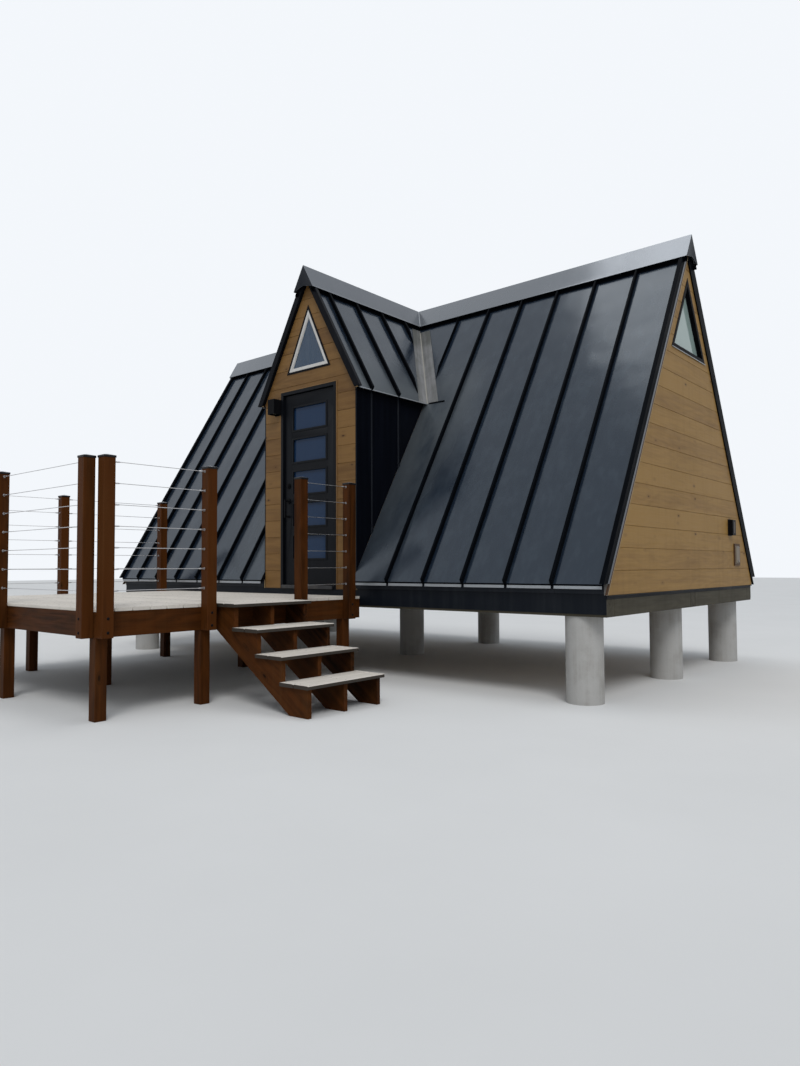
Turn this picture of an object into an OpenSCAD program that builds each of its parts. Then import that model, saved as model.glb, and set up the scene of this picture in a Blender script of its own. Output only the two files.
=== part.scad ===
// A-frame cabin with a cross-gabled entry, a raised deck, cable railing and an open stair.
// Millimetres, +Z up. The origin lies under the middle of the cabin, on the plane that its piers,
// deck posts and stair stand on. +X runs along the main ridge and -Y is the entry side.

/* [Cabin] */
// Length over the outer faces of the two gable walls
cabin_len = 6957; // [5600:1:8400]
// Half width between the rafters' feet at floor level
floor_half = 1847; // [1600:1:2100]
// Height of the floor above the plane that the piers stand on
floor_z = 860; // [700:1:1200]
// Thickness of a stud wall without its boards
stud_t = 91; // [70:1:140]
// Thickness of the wall boards
board_t = 19; // [12:1:28]

/* [Roof] */
// Slope of the main roof in degrees
roof_slope = 59.3; // [56:0.1:62]
// Depth of rafters and sheathing, square to the main slope
main_deck_t = 115; // [90:1:160]
// Thickness of the metal pans
pan_t = 6; // [3:0.5:8]
// Height of a standing seam above its pan
seam_h = 38; // [20:1:50]
// Width of a standing seam
seam_w = 25; // [12:1:40]
// Wanted width of one roof panel
panel_w = 436; // [300:1:600]
// Shift of the seams along the ridge from an even split of the roof
seam_shift = -25; // [-60:1:60]
// Height of the main eave above the floor
eave_h = 90; // [60:1:160]
// Length of one leg of a ridge cap
cap_leg = 300; // [200:1:360]
// Thickness of the cap metal
cap_t = 4; // [2:0.5:6]
// How far a ridge cap runs past the rake trim
cap_over = 38; // [10:1:80]
// Thickness of the rake trim
rake_t = 14; // [8:1:25]
// Level of the main rake trim's lower edge, square to the slope from the rafters' underside
rake_low = 72; // [0:1:80]
// Width of one leg of the valley flashing
valley_w = 150; // [80:1:220]
// Thickness of the valley flashing
valley_t = 2; // [1:0.5:3]

/* [Entry] */
// Middle of the entry gable along the ridge
entry_x = 136; // [-600:1:600]
// Half width over the entry's side cladding
entry_half = 699; // [620:1:800]
// How far the entry's boards stand past the rafters' feet
entry_out = 31; // [20:1:160]
// How far the entry roof hangs past its boards
entry_over = 40; // [20:1:120]
// Half width of the entry roof at its eave
entry_eave_half = 789; // [760:1:880]
// Height of the entry eave above the floor
entry_eave_h = 2026; // [1950:1:2200]
// Depth of the entry roof's rafters and sheathing, square to the slope
entry_deck_t = 76; // [65:1:100]
// Level of the entry rake trim's lower edge, square to the slope from the rafters' underside
entry_rake_low = 54; // [0:1:60]
// Thickness of the side cladding
clad_t = 8; // [5:1:15]
// Height of the ribs on the side cladding
clad_rib_h = 12; // [6:1:20]
// Spacing of the entry roof's seams
entry_panel_w = 420; // [300:1:600]
// Distance from the entry's rake to its first seam
entry_first_seam = 223; // [120:1:300]

/* [Door] */
// Width over the door frame
frame_w = 847; // [780:1:1000]
// Height of the door frame
frame_h = 2130; // [2000:1:2250]
// Thickness of the frame's jambs
jamb_t = 35; // [25:1:50]
// How far the frame stands proud of the boards
frame_proud = 12; // [4:1:30]
// Depth of the recess in front of the leaf
leaf_recess = 28; // [20:1:40]
// Thickness of the door leaf
leaf_t = 44; // [35:1:55]
// Gap at the hinge edge
hinge_gap = 5; // [5:0.5:8]
// Gap at the lock edge
lock_gap = 7; // [7:0.5:10]
// Gap over and under the leaf
leaf_gap = 6; // [5:0.5:10]
// Height of the sill
sill_h = 35; // [20:1:60]
// Number of lites in the leaf
lites = 5; // [3:1:6]
// Width of one lite
lite_w = 508; // [380:1:540]
// Height of one lite
lite_h = 252; // [200:1:300]
// Height of the rail between two lites
lite_rail = 94; // [60:1:110]
// Height of the rail over the top lite
top_rail = 140; // [80:1:160]
// Radius of a hinge barrel
barrel_r = 7; // [5:0.5:7]
// Length of a hinge
hinge_len = 100; // [80:1:130]
// Distance of the outer hinges' middles from the ends of the leaf
hinge_in = 230; // [180:1:280]
// Height of the lever above the floor
lever_z = 941; // [860:1:1050]
// Height of the bolt above the floor
bolt_z = 1104; // [1000:1:1250]
// Height of the grip's lower foot above the floor
grip_z = 772; // [700:1:820]
// Distance of the lock from the leaf's edge
backset = 60; // [50:1:75]
// Radius of the roses behind the bolt and the lever
rose_r = 29; // [24:1:33]
// Distance of the grip in front of the leaf
grip_out = 48; // [40:1:60]
// Length of the inside lever
lever_len = 110; // [90:1:130]

/* [Windows] */
// Height of the gable window
gable_win_h = 766; // [500:1:1000]
// Band of boards between the gable window and the roof, square to the slope
gable_win_edge = 50; // [30:1:120]
// Width of the window frames' bars
win_bar = 45; // [30:1:70]
// Depth of the window frames
win_depth = 80; // [50:1:100]
// How far the gable window's frame stands proud of the boards
win_proud = 3; // [0:0.5:10]
// Band of boards between the door frame and the transom window
transom_gap = 188; // [120:1:260]
// Distance of the transom window's tip below the tip of the entry's rafters, square to the slope
transom_edge = 82; // [40:1:160]
// Slope of the transom window's sides in degrees
transom_slope = 64.6; // [58:0.1:70]
// Width of the dark trim round the transom window
transom_trim = 16; // [10:1:30]
// Thickness of all panes
glass_t = 6; // [4:0.5:24]

/* [Base] */
// Height and width of the base beams
beam = 140; // [90:1:200]
// Thickness of the floor
floor_t = 28; // [18:1:40]
// Radius of a pier
pier_r = 150; // [100:1:180]
// Distance of the outer piers' middles from the gable ends
pier_inset = 280; // [200:1:600]
// How far the outer piers' edges lie inside the base
pier_in = 10; // [0:1:60]
// Distance of the gable boards' face past the beams
base_inset = 12; // [4:1:30]
// Thickness of a joist
joist_t = 38; // [30:1:60]
// Number of joists in each half of the base
joists = 5; // [3:1:9]
// Thickness of the skirt metal
skirt_t = 6; // [3:1:12]
// How far the skirt hangs below the beams' tops
skirt_drop = 120; // [60:1:130]

/* [Deck] */
// Height of the deck's top
deck_z = 800; // [650:1:840]
// Position of the deck's stair side
deck_x1 = 884; // [860:1:1200]
// Width of the deck along the cabin
deck_w = 3140; // [2600:1:3600]
// Depth of the deck from the cabin to its front edge
deck_depth = 2716; // [2400:1:3300]
// Thickness of the deck boards
deck_board_t = 25; // [20:1:40]
// Height of rims and joists
rim_h = 184; // [140:1:235]
// Side of a square post
post = 89; // [70:1:120]
// Number of deck joists between the side rims, odd so that one lies over the middle supports
deck_joists = 7; // [3:2:9]

/* [Stair] */
// Distance of the stair's near edge from the deck's front edge
stair_in = 1000; // [900:1:1100]
// Width of the treads
stair_w = 825; // [700:1:860]
// Depth of the landing beside the deck
landing = 264; // [240:1:300]
// Going of one step
stair_run = 283; // [240:1:320]
// Rise of one step
riser_h = 187; // [150:1:190]
// Number of treads below the landing
treads = 3; // [1:1:3]
// Thickness of a tread
tread_t = 28; // [25:1:40]
// How far a tread stands past the stringer's cut
nosing = 25; // [10:1:40]
// Thickness of a stringer
stringer_t = 38; // [30:1:60]
// Depth of a stringer under its cuts, square to the slope
throat = 130; // [90:1:140]

/* [Railing] */
// Height of the posts' tops above the deck
rail_h = 1090; // [900:1:1200]
// Number of cables in a bay
cables = 7; // [4:1:9]
// Spacing of the cables
cable_step = 155; // [100:1:160]
// Distance of the top cable below the posts' tops
cable_top = 35; // [20:1:60]
// Diameter of a cable
cable_d = 5; // [3:0.5:8]
// Diameter of a cable fitting
fitting_d = 14; // [10:1:18]
// Length of a cable fitting
fitting_len = 55; // [30:1:80]
// Height of a post cap's rim
cap_rim = 12; // [8:1:20]
// Height of a post cap's pyramid
cap_peak = 12; // [6:1:25]
// Distance of the rear posts' middles from the deck's rear edge
rear_post = 191; // [165:1:260]
// Position of the middle front post from the deck's stair side
front_post = 1516; // [1200:1:1700]
// Distance of the front corner posts' middles from the deck's sides
corner_post = 75; // [48:1:120]
// Position of the posts beside the stair, from its edges
stair_post_gap = 35; // [5:1:60]

/* [Fittings] */
// Width of a wall lamp
lamp_w = 105; // [80:1:130]
// Depth of the entry lamp
lamp_d = 110; // [60:1:140]
// Height of a wall lamp
lamp_h = 164; // [120:1:220]
// Height of the entry lamp's lower edge above the floor
lamp_z = 1893; // [1700:1:1900]
// Depth of the gable lamp
gable_lamp_d = 50; // [30:1:100]
// Distance of the gable lamp's middle from the rear rafters' feet
gable_lamp_in = 717; // [640:1:900]
// Height of the gable lamp's lower edge above the floor
gable_lamp_z = 545; // [450:1:620]
// Distance of the supply box's middle from the rear rafters' feet
inlet_in = 507; // [430:1:600]
// Height of the supply box's lower edge above the floor
inlet_z = 240; // [150:1:330]
// Width of the supply box
inlet_w = 140; // [100:1:160]
// Height of the supply box
inlet_h = 200; // [150:1:220]
// Depth of the supply box
inlet_d = 22; // [15:1:60]

/* [Hidden] */
$fn = 32;

// Clearance between solids that seat on each other without sharing a face
seat = 0.3;
// More than any piece reaches
far = 9000;
// Distance of the closure strips above the caps' lower edges
closure_in = 12;
// Width of the side cladding's ribs, and width and thickness of its corner trim
rib_w = 18;
corner_w = 40;
corner_t = 3;
// Thickness of folded plates, and the gap between a hinge barrel and the jamb
hinge_t = 2;
knuckle_gap = 0.5;
lamp_t = 4;
cap_wall = 3;
cap_plate = 4;
// Thickness and width of the door stops, and how far the sill stands out
stop_t = 12;
sill_out = 25;
// How far the transom's trim stands proud of the boards
transom_proud = 4;
// Thickness of a rose, radius of a spindle and thickness of the grip
rose_t = 12;
spindle_r = 9;
grip_t = 14;
// Gap between the entry lamp and the door frame, and between the skirt and the ribs
side_gap = 2;

cabin_half = cabin_len / 2;
roof_half = cabin_half + rake_t;
eave_z = floor_z + eave_h;
entry_front = floor_half + entry_out;
base_half = entry_front;
wall_t = stud_t + board_t;

// Levels above the underside of the main rafters, square to the slope
main_pan = main_deck_t + pan_t;
main_seam = main_pan + seam_h;
main_cap = main_seam + cap_t;

// Half width of the main roof at height z on the level h
function main_half(z, h) = floor_half + h / sin(roof_slope) - (z - floor_z) / tan(roof_slope);
// Height of the main roof's apex on the level h
function main_apex(h) = floor_z + floor_half * tan(roof_slope) + h / cos(roof_slope);

// The entry roof's seams end level with the main roof's, which sets its slope
entry_eave_z = floor_z + entry_eave_h;
entry_top = main_apex(main_seam);
entry_slope = atan((entry_top - entry_eave_z) / entry_eave_half);
entry_pan = entry_deck_t + pan_t;
entry_seam = entry_pan + seam_h;
entry_cap = entry_seam + cap_t;

// Height of the entry roof's apex on the level h, and its half width at height z
function entry_apex(h) = entry_top + (h - entry_seam) / cos(entry_slope);
function entry_at(z, h) = (entry_apex(h) - z) / tan(entry_slope);

// In plan the valley runs from the ridge crossing with this much X for each Y
valley_ratio = tan(roof_slope) / tan(entry_slope);
valley_y = entry_eave_half / valley_ratio;

panels = round(2 * roof_half / panel_w);
panel = 2 * roof_half / panels;
// Middle of seam i, counted from the left rake
function seam_x(i) = -roof_half + i * panel + seam_shift;
// Height of the seams' upper ends, where the caps' closure strips stand
main_seam_top = main_apex(main_seam) - (cap_leg - closure_in) * sin(roof_slope);
entry_seam_top = entry_apex(entry_seam) - (cap_leg - closure_in) * sin(entry_slope);

entry_face = entry_front + entry_over;
side_in = entry_half - clad_t - stud_t;
side_out = entry_half - clad_t;

door_half = frame_w / 2;
door_in = door_half - jamb_t;
door_top = floor_z + frame_h;
frame_face = -(entry_front + frame_proud);
leaf_face = frame_face + leaf_recess;
leaf_z0 = floor_z + sill_h + leaf_gap;
leaf_z1 = door_top - jamb_t - leaf_gap;
leaf_x0 = entry_x - door_in + lock_gap;
leaf_x1 = entry_x + door_in - hinge_gap;
leaf_w = leaf_x1 - leaf_x0;
wall_back = -(entry_front - wall_t);
pin_x = entry_x + door_in - barrel_r - knuckle_gap;
pin_y = leaf_face - barrel_r - hinge_t;
lock_x = leaf_x0 + backset;
lite_top = leaf_z1 - top_rail;
lite_pitch = lite_h + lite_rail;
lite_x = (leaf_x0 + leaf_x1) / 2;

beam_z0 = floor_z - floor_t - beam;
beam_bay = base_half - beam - beam / 2;
base_x = cabin_half - base_inset;

deck_x0 = deck_x1 - deck_w;
deck_back = -(base_half + skirt_t + seat);
deck_front = deck_depth - deck_back;
rim_z1 = deck_z - deck_board_t;
rim_z0 = rim_z1 - rim_h;
rim_t = joist_t;
post_top = deck_z + rail_h;
side_post_x = deck_x1 + post / 2;
far_post_x = deck_x0 - post / 2;
front_post_y = -(deck_front + post / 2);
corner_y = -(deck_front - post / 2);
stair_y0 = stair_in - deck_front;
stair_y1 = stair_y0 + stair_w;
rear_post_y = rear_post - deck_back;
near_post_y = stair_y0 - stair_post_gap - post / 2;
past_post_y = stair_y1 + stair_post_gap + post / 2;
mid_post_y = (corner_y - rear_post_y) / 2;
corner_x1 = deck_x1 - corner_post;
corner_x0 = deck_x0 + corner_post;

// Middles of all railing posts
side_ys = [corner_y, near_post_y, past_post_y, -rear_post_y];
left_ys = [corner_y, mid_post_y, -rear_post_y];
front_xs = [corner_x0, deck_x1 - front_post, corner_x1];
rail_points = concat(
    [for (y = side_ys) [side_post_x, y]],
    [for (y = left_ys) [far_post_x, y]],
    [for (x = front_xs) [x, front_post_y]]);

// Bays along the sides as [x, y0, y1], and along the front as [y, x0, x1]
side_bays = [
    [side_post_x, corner_y, near_post_y],
    [side_post_x, past_post_y, -rear_post_y],
    [far_post_x, corner_y, mid_post_y],
    [far_post_x, mid_post_y, -rear_post_y]];
front_bays = [
    [front_post_y, front_xs[0], front_xs[1]],
    [front_post_y, front_xs[1], front_xs[2]]];

metal = [0.09, 0.10, 0.13];
cap_metal = [0.30, 0.31, 0.34];
pine = [0.72, 0.50, 0.26];
stain = [0.33, 0.15, 0.08];
treated = [0.50, 0.46, 0.36];
steel = [0.75, 0.76, 0.78];

// Prism along X from a Y Z outline, and along Y from an X Z outline
module along_x(x0, x1) {
    translate([x0, 0, 0]) rotate([90, 0, 90]) linear_extrude(x1 - x0) children();
}
module along_y(y0, y1) {
    translate([0, y1, 0]) rotate([90, 0, 0]) linear_extrude(y1 - y0) children();
}
// Box between two corners
module box(a, b) {
    translate(a) cube(b - a);
}
// Copy on the other side of the entry's middle plane
module entry_mirror() {
    translate([entry_x, 0, 0]) mirror([1, 0, 0]) translate([-entry_x, 0, 0]) children();
}

// Outline of a band of the main roof's front slope, from height z0 to the ridge
module main_band(z0, h0, h1) {
    polygon([
        [-main_half(z0, h0), z0], [-main_half(z0, h1), z0],
        [0, main_apex(h1)], [0, main_apex(h0)]]);
}
// Outline of a length of the front slope that ends short of the ridge
module main_strip(z0, z1, h0, h1) {
    polygon([
        [-main_half(z0, h0), z0], [-main_half(z0, h1), z0],
        [-main_half(z1, h1), z1], [-main_half(z1, h0), z1]]);
}
module entry_band(z0, h0, h1) {
    polygon([
        [entry_at(z0, h0), z0], [entry_at(z0, h1), z0],
        [0, entry_apex(h1)], [0, entry_apex(h0)]]);
}
module entry_strip(z0, z1, h0, h1) {
    polygon([
        [entry_at(z0, h0), z0], [entry_at(z0, h1), z0],
        [entry_at(z1, h1), z1], [entry_at(z1, h0), z1]]);
}

// Plan of what the entry takes out of the main front slope. Grown sideways past the valleys, it also
// clears the ribs of the side cladding.
module entry_plan(grow) {
    wide = entry_half + (grow > 0 ? clad_rib_h + side_gap : seat);
    tip = grow > 0 ? [[grow, 0], [-grow, 0]] : [[0, 0]];
    translate([entry_x, 0, 0]) linear_extrude(far) polygon(concat(
        [[-wide, -far], [wide, -far], [wide, -valley_y], [entry_eave_half + grow, -valley_y]],
        tip, [[-entry_eave_half - grow, -valley_y], [-wide, -valley_y]]));
}
// Plan of the right half of the entry roof, up to the valley
module entry_half_plan(y0, trim) {
    wide = 2 * entry_eave_half;
    translate([entry_x, 0, 0]) linear_extrude(far) polygon([
        [0, y0], [wide, y0], [wide, -wide / valley_ratio - trim], [0, -trim]]);
}

module foundation_piers() {
    xs = cabin_half - pier_inset;
    ys = base_half - pier_in - pier_r;
    color("gainsboro") for (x = [-xs, 0, xs], y = [-ys, 0, ys])
        translate([x, y, 0]) cylinder(r = pier_r, h = beam_z0);
}

module base_beams() {
    color(treated) {
        for (y = [-base_half, -beam / 2, base_half - beam])
            box([-base_x, y, beam_z0], [base_x, y + beam, beam_z0 + beam]);
        for (x = [-base_x, base_x - beam], y = [-base_half + beam, beam / 2])
            box([x, y + seat, beam_z0], [x + beam, y + beam_bay - seat, beam_z0 + beam]);
    }
}

module floor_joists() {
    span = 2 * (base_x - beam);
    color(treated) for (i = [1 : joists], y = [-base_half + beam, beam / 2])
        translate([-span / 2 + i * span / (joists + 1) - joist_t / 2, 0, 0])
            box([0, y + seat, beam_z0], [joist_t, y + beam_bay - seat, beam_z0 + beam]);
}

module floor() {
    color("burlywood")
        box([-base_x, -base_half, floor_z - floor_t], [base_x, base_half, floor_z]);
}

// Metal sheets that hang from the eaves over the base beams
module skirt_panels() {
    low = beam_z0 + beam - skirt_drop;
    right = entry_x + entry_half + clad_rib_h + side_gap;
    left = entry_x - entry_half - clad_rib_h - side_gap;
    color(metal) {
        box([right, -base_half - skirt_t, low], [base_x, -base_half, eave_z]);
        box([-base_x, -base_half - skirt_t, low], [left, -base_half, eave_z]);
        box([left + seat, -base_half - skirt_t, low], [right - seat, -base_half, floor_z - seat]);
        box([-base_x, base_half, low], [base_x, base_half + skirt_t, eave_z]);
    }
}

// Outline of the gable under the rafters, and of its window grown by g
module gable_outline() {
    polygon([[-floor_half, floor_z], [floor_half, floor_z], [0, main_apex(0)]]);
}
module gable_window_outline(g) {
    z0 = main_apex(-gable_win_edge) - gable_win_h - g;
    top = main_apex(-gable_win_edge + g);
    half = (top - z0) / tan(roof_slope);
    polygon([[-half, z0], [half, z0], [0, top]]);
}
module gable_wall(x0, x1) {
    along_x(x0, x1) difference() {
        gable_outline();
        gable_window_outline(0);
    }
}
module gable_wall_right() {
    color(pine) gable_wall(cabin_half - wall_t, cabin_half - board_t);
}
module gable_wall_left() {
    color(pine) gable_wall(-cabin_half + board_t, -cabin_half + wall_t);
}
// Boards that also cover the ends of the roof decks
module gable_boards() {
    eave = main_half(eave_z, main_deck_t);
    color(pine) for (side = [1, -1]) scale([side, 1, 1])
        along_x(cabin_half - board_t, cabin_half) difference() {
            polygon([
                [-base_half, floor_z], [base_half, floor_z], [base_half, eave_z], [eave, eave_z],
                [0, main_apex(main_deck_t)], [-eave, eave_z], [-base_half, eave_z]]);
            gable_window_outline(0);
        }
}
module gable_window_frames() {
    color("dimgray") for (side = [1, -1]) scale([side, 1, 1])
        along_x(cabin_half - board_t - win_depth, cabin_half + win_proud) difference() {
            gable_window_outline(0);
            gable_window_outline(-win_bar);
        }
}

// Outline of the transom window, drawn in by g on all sides
module transom_outline(g) {
    z0 = door_top + transom_gap + g;
    top = entry_apex(-transom_edge) - g / cos(transom_slope);
    half = (top - z0) / tan(transom_slope);
    translate([entry_x, 0]) polygon([[-half, z0], [half, z0], [0, top]]);
}
// Panes of the gable windows and of the transom
module window_glass() {
    gx = cabin_half - board_t - win_depth / 2;
    gy = -entry_front + board_t + win_depth / 2;
    color([0.55, 0.70, 0.68, 0.5]) {
        for (side = [1, -1]) scale([side, 1, 1])
            along_x(gx - glass_t / 2, gx + glass_t / 2) gable_window_outline(-win_bar);
        along_y(gy - glass_t / 2, gy + glass_t / 2) transom_outline(transom_trim + win_bar);
    }
}
module transom_frame() {
    color("white") along_y(-entry_front - transom_proud, -entry_front + board_t + win_depth) difference() {
        transom_outline(0);
        transom_outline(transom_trim + win_bar);
    }
}

// Outline of the entry's front, up to the level h of its rafters
module entry_outline(h) {
    in = entry_at(entry_eave_z, h);
    translate([entry_x, 0]) polygon([
        [-side_out, floor_z], [side_out, floor_z], [side_out, entry_eave_z], [in, entry_eave_z],
        [0, entry_apex(h)], [-in, entry_eave_z], [-side_out, entry_eave_z]]);
}
// Rectangle between two corners, measured from the entry's middle
module entry_rect(x0, x1, z0, z1) {
    translate([entry_x + x0, z0]) square([x1 - x0, z1 - z0]);
}
// Stud wall of the entry: a part beside each jamb and the gable over the door
module entry_wall() {
    y0 = -entry_front + board_t;
    in = side_in - seat;
    color(pine) {
        for (x = [-in, door_half]) along_y(y0, wall_back) intersection() {
            entry_outline(0);
            entry_rect(x, x + in - door_half, floor_z, door_top - seat);
        }
        along_y(y0, wall_back) difference() {
            intersection() {
                entry_outline(0);
                entry_rect(-in, in, door_top, entry_top);
            }
            transom_outline(0);
        }
    }
}
module entry_boards() {
    color(pine) along_y(-entry_front, -entry_front + board_t) difference() {
        entry_outline(entry_rake_low);
        entry_rect(-door_half, door_half, 0, door_top);
        transom_outline(0);
    }
}

// Side of the entry as seen from the side: its rear edge follows the main rafters
module entry_side_outline(y0) {
    top = entry_apex(0) - side_in * tan(entry_slope);
    polygon([
        [y0, floor_z], [-main_half(floor_z, 0), floor_z], [-main_half(top, 0), top], [y0, top]]);
}
module entry_side_wall() {
    intersection() {
        translate([entry_x, 0, 0]) along_x(side_in, side_out)
            entry_side_outline(-entry_front + board_t);
        translate([entry_x, 0, 0]) along_y(-entry_front, 0) polygon([
            [side_in, 0], [side_out, 0], [side_out, entry_eave_z],
            [entry_at(entry_eave_z, 0), entry_eave_z],
            [side_in, entry_apex(0) - side_in * tan(entry_slope)]]);
        entry_half_plan(-far, 2 * seat);
    }
}
module entry_side_walls() {
    color(pine) {
        entry_side_wall();
        entry_mirror() entry_side_wall();
    }
}
module entry_side_cladding() {
    rib_y = -entry_front + entry_first_seam;
    color(metal) for (side = [0, 1]) translate([entry_x, 0, 0]) mirror([side, 0, 0])
        intersection() {
            union() {
                box([side_out, -entry_front, floor_z], [entry_half, 0, entry_eave_z]);
                for (y = [rib_y : entry_panel_w : -valley_y])
                    box([side_out, y, floor_z], [entry_half + clad_rib_h, y + rib_w, entry_eave_z]);
                box([side_out, -entry_front - corner_t, floor_z],
                    [entry_half + corner_t, -entry_front + corner_w, entry_eave_z]);
            }
            along_x(0, far) polygon([
                [-far, floor_z], [-main_half(floor_z, main_pan), floor_z],
                [-main_half(entry_eave_z, main_pan), entry_eave_z], [-far, entry_eave_z]]);
        }
}

// Rafters and sheathing of the main roof, as plain slabs round the entry
module main_slab(x0, x1) {
    along_x(x0, x1) polygon([
        [-main_half(floor_z, 0), floor_z], [-base_half, floor_z], [-base_half, eave_z],
        [-main_half(eave_z, main_deck_t), eave_z],
        [0, main_apex(main_deck_t)], [0, main_apex(0)]]);
}
module front_deck() {
    x1 = entry_x + entry_eave_half;
    main_slab(x1 + seat, cabin_half - board_t);
    intersection() {
        main_slab(entry_x + entry_half + seat, x1);
        box([-far, -far, 0], [far, -valley_y - seat, far]);
    }
    difference() {
        intersection() {
            main_slab(entry_x, x1);
            box([-far, -valley_y, 0], [far, 1, far]);
        }
        entry_plan(0);
    }
}
module roof_deck_front_right() {
    color("tan") front_deck();
}
module roof_deck_front_left() {
    x0 = entry_x - entry_eave_half;
    color("tan") {
        main_slab(-cabin_half + board_t, x0 - seat);
        intersection() {
            main_slab(x0, entry_x - entry_half - seat);
            box([-far, -far, 0], [far, -valley_y - seat, far]);
        }
        difference() {
            intersection() {
                main_slab(x0, entry_x);
                box([-far, -valley_y, 0], [far, 1, far]);
            }
            entry_plan(0);
        }
    }
}
module roof_deck_back() {
    color("tan") mirror([0, 1, 0]) main_slab(-cabin_half + board_t, cabin_half - board_t);
}

// Standing-seam panels of the front slope between x0 and x1
module front_metal(x0, x1) {
    difference() {
        along_x(x0, x1) main_band(eave_z, main_deck_t, main_pan);
        entry_plan(0);
    }
    difference() {
        for (i = [1 : panels - 1]) {
            x = seam_x(i);
            if (x > x0 && x < x1)
                along_x(x - seam_w / 2, x + seam_w / 2)
                    main_strip(eave_z, main_seam_top, main_deck_t + pan_t / 2, main_seam);
        }
        entry_plan(valley_w);
    }
}
module roof_metal_front_right() {
    color(metal) front_metal(entry_x, cabin_half);
}
module roof_metal_front_left() {
    color(metal) front_metal(-cabin_half, entry_x);
}
module roof_metal_back() {
    color(metal) mirror([0, 1, 0]) {
        along_x(-cabin_half, cabin_half) main_band(eave_z, main_deck_t, main_pan);
        for (i = [1 : panels - 1])
            along_x(seam_x(i) - seam_w / 2, seam_x(i) + seam_w / 2)
                main_strip(eave_z, main_seam_top, main_deck_t + pan_t / 2, main_seam);
    }
}

// Rafters and sheathing of the entry roof. In front of the rafters only a strip behind the trim.
module entry_slab() {
    intersection() {
        translate([entry_x, 0, 0]) union() {
            along_y(-entry_face + rake_t, -entry_front + board_t)
                entry_band(entry_eave_z, entry_rake_low, entry_deck_t);
            along_y(-entry_front + board_t, 0) entry_band(entry_eave_z, 0, entry_deck_t);
        }
        entry_half_plan(-entry_face, 0);
    }
}
module entry_metal() {
    rows = floor((entry_face - entry_first_seam) / entry_panel_w);
    intersection() {
        translate([entry_x, 0, 0]) along_y(-entry_face + rake_t, 0)
            entry_band(entry_eave_z, entry_deck_t, entry_pan);
        entry_half_plan(-entry_face, 0);
    }
    intersection() {
        translate([entry_x, 0, 0]) for (i = [0 : rows]) {
            y = -entry_face + entry_first_seam + i * entry_panel_w;
            along_y(y - seam_w / 2, y + seam_w / 2)
                entry_strip(entry_eave_z, entry_seam_top, entry_deck_t + pan_t / 2, entry_seam);
        }
        entry_half_plan(-entry_face, valley_w);
    }
}
module entry_roof_right() {
    color("tan") entry_slab();
}
module entry_roof_left() {
    color("tan") entry_mirror() entry_slab();
}
module entry_metal_right() {
    color(metal) entry_metal();
}
module entry_metal_left() {
    color(metal) entry_mirror() entry_metal();
}

// One leg of the main ridge cap with its closure strip, on the front slope
module main_cap_leg(x0, x1) {
    low = main_apex(main_cap) - cap_leg * sin(roof_slope);
    strip = main_seam_top + seat;
    side = cabin_half - seam_w - seat;
    along_x(x0, x1) main_band(low, main_seam + seat, main_cap);
    along_x(max(x0, -side), min(x1, side))
        main_strip(strip, strip + cap_t, main_pan + seat, main_cap);
}
module main_ridge_cap() {
    end = roof_half + cap_over;
    low = main_apex(main_cap) - cap_leg * sin(roof_slope);
    half = main_half(low, main_cap);
    color(cap_metal) {
        mirror([0, 1, 0]) main_cap_leg(-end, end);
        difference() {
            main_cap_leg(-end, end);
            entry_plan(0);
        }
        for (side = [1, -1]) scale([side, 1, 1]) along_x(end - cap_t, end) polygon([
            [-half, low], [0, low + cap_leg / 8], [half, low], [0, main_apex(main_cap)]]);
    }
}
module entry_cap_leg() {
    low = entry_apex(entry_cap) - cap_leg * sin(entry_slope);
    strip = entry_seam_top + seat;
    intersection() {
        translate([entry_x, 0, 0]) union() {
            along_y(-entry_face - cap_over, 0) entry_band(low, entry_seam + seat, entry_cap);
            along_y(-entry_face + rake_t + seam_w + seat, 0)
                entry_strip(strip, strip + cap_t, entry_pan + seat, entry_cap);
        }
        entry_half_plan(-far, 0);
    }
}
module entry_ridge_cap() {
    low = entry_apex(entry_cap) - cap_leg * sin(entry_slope);
    half = entry_at(low, entry_cap);
    color(cap_metal) {
        entry_cap_leg();
        entry_mirror() entry_cap_leg();
        translate([entry_x, 0, 0]) along_y(-entry_face - cap_over, -entry_face - cap_over + cap_t)
            polygon([
                [-half, low], [0, low + cap_leg / 8], [half, low], [0, entry_apex(entry_cap)]]);
    }
}

// Trim over the ends of the roof: a board on the gable and a turned-up edge over the pans
module rake_trims() {
    color(metal) for (side = [1, -1]) scale([side, 1, 1]) for (face = [0, 1]) mirror([0, face, 0]) {
        along_x(cabin_half, roof_half) main_band(eave_z, rake_low, main_seam);
        along_x(cabin_half - seam_w, cabin_half) main_band(eave_z, main_pan, main_seam);
    }
}
module entry_rake_trim() {
    color(metal) for (side = [0, 1]) translate([entry_x, 0, 0]) mirror([side, 0, 0]) {
        along_y(-entry_face, -entry_face + rake_t) entry_band(entry_eave_z, entry_rake_low, entry_seam);
        along_y(-entry_face + rake_t, -entry_face + rake_t + seam_w)
            entry_band(entry_eave_z, entry_pan, entry_seam);
    }
}

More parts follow.
